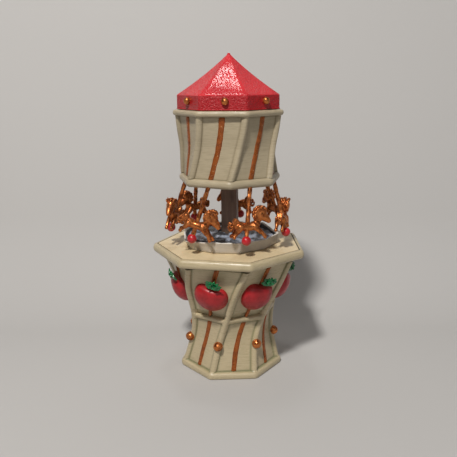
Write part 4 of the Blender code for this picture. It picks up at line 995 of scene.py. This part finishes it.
def horse_mesh():
    """A leaping horse with a full curly mane and tail, in millimetres about its middle: X ahead, Z up."""
    points, faces = [], []

    def add(rings):
        new_points, new_faces = skin(rings)
        start = len(points)
        points.extend(new_points)
        faces.extend(tuple(start + i for i in face) for face in new_faces)

    def limb(spots, count=12, sides=12):
        add(tube(curve_spots(spots, count), sides))

    def lowered(*spots):
        """Spots of the body, head and tail, which sit this much lower on the pole than they are drawn."""
        return [(x, y, z - 1.3, radius) for x, y, z, radius in spots]

    limb(lowered(
        (-7.8, 0, 0.8, 2.4), (-5.6, 0, 0.3, 3.5), (-2.0, 0, -0.4, 2.9), (2.0, 0, -0.4, 3.0),
        (5.0, 0, 0.1, 3.5), (6.8, 0, 1.2, 2.7),
    ), 18, 16)
    limb(lowered((5.8, 0, 1.2, 2.7), (8.0, 0, 3.4, 2.1), (9.4, 0, 5.8, 2.5)), 8, 14)
    crown = Vector((9.8, 0, 6.9))
    add(globe(crown, (4.7, 3.8, 4.7), 24, 16))
    limb(lowered((10.9, 0, 7.0, 3.4), (13.2, 0, 5.4, 3.0), (15.0, 0, 3.8, 2.3), (15.9, 0, 2.8, 1.8)), 12, 14)
    for side in (-1, 1):
        ear = [(9.6, 2.4 * side, 9.7, 1.0), (9.6, 3.1 * side, 11.6, 0.65), (9.5, 3.4 * side, 12.9, 0.25)]
        limb(ear, 8, 8)
        limb([
            (5.0, 1.6 * side, -1.6, 2.5), (7.8, 2.0 * side, -4.2, 1.85),
            (10.4, 2.1 * side, -6.6 - 0.3 * side, 1.35), (12.2 + 0.4 * side, 2.1 * side, -8.5, 1.2),
            (13.0 + 0.5 * side, 2.1 * side, -9.4, 1.45),
        ], 14)
        limb([
            (-5.8, 1.7 * side, -1.4, 2.8), (-7.2, 2.2 * side, -3.9, 1.95),
            (-8.6 - 0.3 * side, 2.2 * side, -5.5, 1.35), (-9.9, 2.2 * side, -7.2, 1.2),
            (-10.9 - 0.4 * side, 2.2 * side, -8.2, 1.45),
        ], 14)
        add(globe((13.0, 2.3 * side, 5.6), (0.75, 0.5, 0.7), 10, 7))
    for i in range(11):
        around = radians(58 + 16 * i)
        for side, reach in ((-1, 0.86), (0, 1), (1, 0.86)):
            limb(mane_curl(crown, around, side, reach, (-1) ** (i + side)), 12, 7)
    for side in (-1, 0, 1):
        limb(lowered(
            (-7.0, 0.3 * side, 1.4, 1.1), (-8.0, 0.9 * side, 3.6, 1.15), (-9.8, 1.1 * side, 3.5, 1.05),
            (-10.9, 1.0 * side, 0.6, 1.0), (-12.0, 0.9 * side, -1.6, 0.95), (-13.6, 0.8 * side, -1.4, 0.85),
            (-14.5, 0.8 * side, 0.8 - 0.5 * side, 0.5),
        ), 24, 8)
        limb(lowered(
            (-6.8, 1.1 * side, 2.0, 0.8), (-7.2, 1.5 * side, 4.6, 0.8), (-9.0, 1.6 * side, 5.4, 0.75),
            (-10.2, 1.5 * side, 3.4, 0.7), (-9.0, 1.4 * side, 2.0, 0.5),
        ), 16, 7)
        limb(lowered(
            (-11.6, 1.6 * side, 0.2, 0.7), (-13.2, 2.0 * side, 1.6, 0.75), (-12.6, 2.1 * side, 3.2, 0.65),
            (-11.4, 1.9 * side, 2.6, 0.45),
        ), 12, 7)
    parts = mesh_of("horse_rough", points, faces, FINISHES["copper"], 50)
    return remeshed("horse_body", parts, 0.3, FINISHES["copper"])


def remeshed(name, mesh, voxel, finish):
    """One smooth skin over all the overlapping bodies of a mesh."""
    holder = bpy.data.objects.new("holder", mesh)
    bpy.context.scene.collection.objects.link(holder)
    melt = holder.modifiers.new("melt", "REMESH")
    melt.mode = "VOXEL"
    melt.voxel_size = voxel * MM
    melt.use_smooth_shade = True
    soften = holder.modifiers.new("soften", "SMOOTH")
    soften.factor = 0.5
    soften.iterations = 2
    bpy.context.view_layer.update()
    graph = bpy.context.evaluated_depsgraph_get()
    made = bpy.data.meshes.new_from_object(holder.evaluated_get(graph))
    bpy.data.objects.remove(holder)
    made.name = name
    made.materials.clear()
    made.materials.append(finish)
    return made


def make_horses():
    """Seven horses, each turned about its pole and dipped forwards as much as the lists say."""
    mesh = horse_mesh()
    place = horse_frame()
    place.translation *= MM
    low, high = polar(*POLE_LOW), polar(*POLE_HIGH)
    to_pole = Matrix.Translation(low * MM)
    for k in range(SIDES):
        turn = Matrix.Rotation(radians(HORSE_TURNS[k]), 4, high - low)
        dip = Matrix.Rotation(radians(HORSE_DIPS[k]), 4, "Y")
        local = to_pole @ turn @ to_pole.inverted() @ place @ dip
        piece(f"horse_body_{k + 1}", mesh, "carousel", [f"horse_{k + 1}"], k * STEP, local)


# ---- the pieces that keep their CAD shape ----
def finish_cad_nodes():
    """CAD pieces that stay get a finish by their record slot, and a small bevel on their edges."""
    slots = {part["node"]: part["material_slot"] for part in frame["record"]["subparts"]}
    for name, node in frame["nodes"].items():
        if node.hide_render:
            continue
        node.data.materials.clear()
        node.data.materials.append(FINISHES[slots[name]])
        bevel = node.modifiers.new("edge", "BEVEL")
        bevel.width = (0.5 if name in ("column", "deck_lid") else 0.12) * MM
        bevel.segments = 2
        bevel.limit_method = "ANGLE"
        bevel.angle_limit = radians(40)


# ---- the room ----
def see_through_behind(ground):
    """The backdrop shows only its front, so the object can be seen from behind it."""
    back = ground.node("ShaderNodeNewGeometry").outputs["Backfacing"]
    clear = ground.node("ShaderNodeBsdfTransparent").outputs["BSDF"]
    choice = ground.node("ShaderNodeMixShader")
    ground.link(back, choice.inputs[0])
    ground.link(ground.shader.outputs["BSDF"], choice.inputs[1])
    ground.link(clear, choice.inputs[2])
    output = next(node for node in ground.made.node_tree.nodes if node.type == "OUTPUT_MATERIAL")
    ground.link(choice.outputs["Shader"], output.inputs["Surface"])


def make_room():
    ground = Finish("backdrop_paper", (0.515, 0.505, 0.495), 0.85)
    ground.tint(ground.window(ground.noise(900, (1, 1, 1), 3), 0.35, 0.7, 0, 0.3), (0.46, 0.45, 0.44))
    start, bend, slope = 0.055, 0.13, radians(68)
    profile = [(-1.6, 0.0)]
    for turn in spread(0, slope, 24):
        profile.append((start + bend * sin(turn), bend * (1 - cos(turn))))
    last_y, last_z = profile[-1]
    profile.append((last_y + 2 * cos(slope), last_z + 2 * sin(slope)))
    points, faces = [], []
    for y, z in profile:
        points += [(-2.5, y, z), (2.5, y, z)]
    for i in range(len(profile) - 1):
        faces.append((2 * i, 2 * i + 1, 2 * i + 3, 2 * i + 2))
    see_through_behind(ground)
    mesh = bpy.data.meshes.new("backdrop")
    mesh.from_pydata(points, [], faces)
    mesh.shade_smooth()
    mesh.materials.append(ground.made)
    backdrop = bpy.data.objects.new("backdrop", mesh)
    bpy.context.scene.collection.objects.link(backdrop)


def area_light(name, place, aim, size, power, colour):
    light = bpy.data.lights.new(name, "AREA")
    light.size = size
    light.energy = power
    light.color = colour
    made = bpy.data.objects.new(name, light)
    made.location = place
    made.rotation_euler = (Vector(aim) - Vector(place)).to_track_quat("-Z", "Y").to_euler()
    bpy.context.scene.collection.objects.link(made)


def make_lights():
    middle = (0, 0, 0.12)
    area_light("key", (-0.26, -0.79, 1.19), middle, 0.12, 16.5, (1.0, 0.97, 0.93))
    area_light("side", (0.9, -0.5, 0.5), middle, 0.6, 0.5, (0.95, 0.97, 1.0))
    area_light("front", (0.2, -1.6, 0.9), middle, 0.9, 2.3, (1.0, 0.98, 0.95))
    area_light("top", (-0.09, 0.21, 1.29), (0, 0, 0.22), 0.14, 0.95, (1.0, 0.99, 0.97))
    world = bpy.data.worlds.new("room")
    world.use_nodes = True
    world.node_tree.nodes["Background"].inputs["Color"].default_value = (0.62, 0.61, 0.60, 1)
    world.node_tree.nodes["Background"].inputs["Strength"].default_value = 0.10
    bpy.context.scene.world = world
    bpy.context.scene.view_settings.view_transform = "Standard"


def make_camera():
    camera = bpy.data.objects.new("camera", bpy.data.cameras.new("camera"))
    bpy.context.scene.collection.objects.link(camera)
    camera.data.lens = 46.354
    camera.data.sensor_width = 36
    camera.data.clip_start = 0.01
    place = Matrix.Translation(AXIS + Vector((0, -0.44308, 0.21969)))
    aim, tilt, roll = (0.151, "Z"), (76, "X"), (-0.458, "Z")
    for angle, axis in (aim, tilt, roll):
        place = place @ Matrix.Rotation(radians(angle), 4, axis)
    camera.matrix_world = place
    bpy.context.scene.camera = camera


make_base()
make_base_trim()
make_canopy()
make_roof()
make_apples()
make_basin()
make_rocks()
make_poles()
make_horses()
finish_cad_nodes()
make_room()
make_lights()
make_camera()
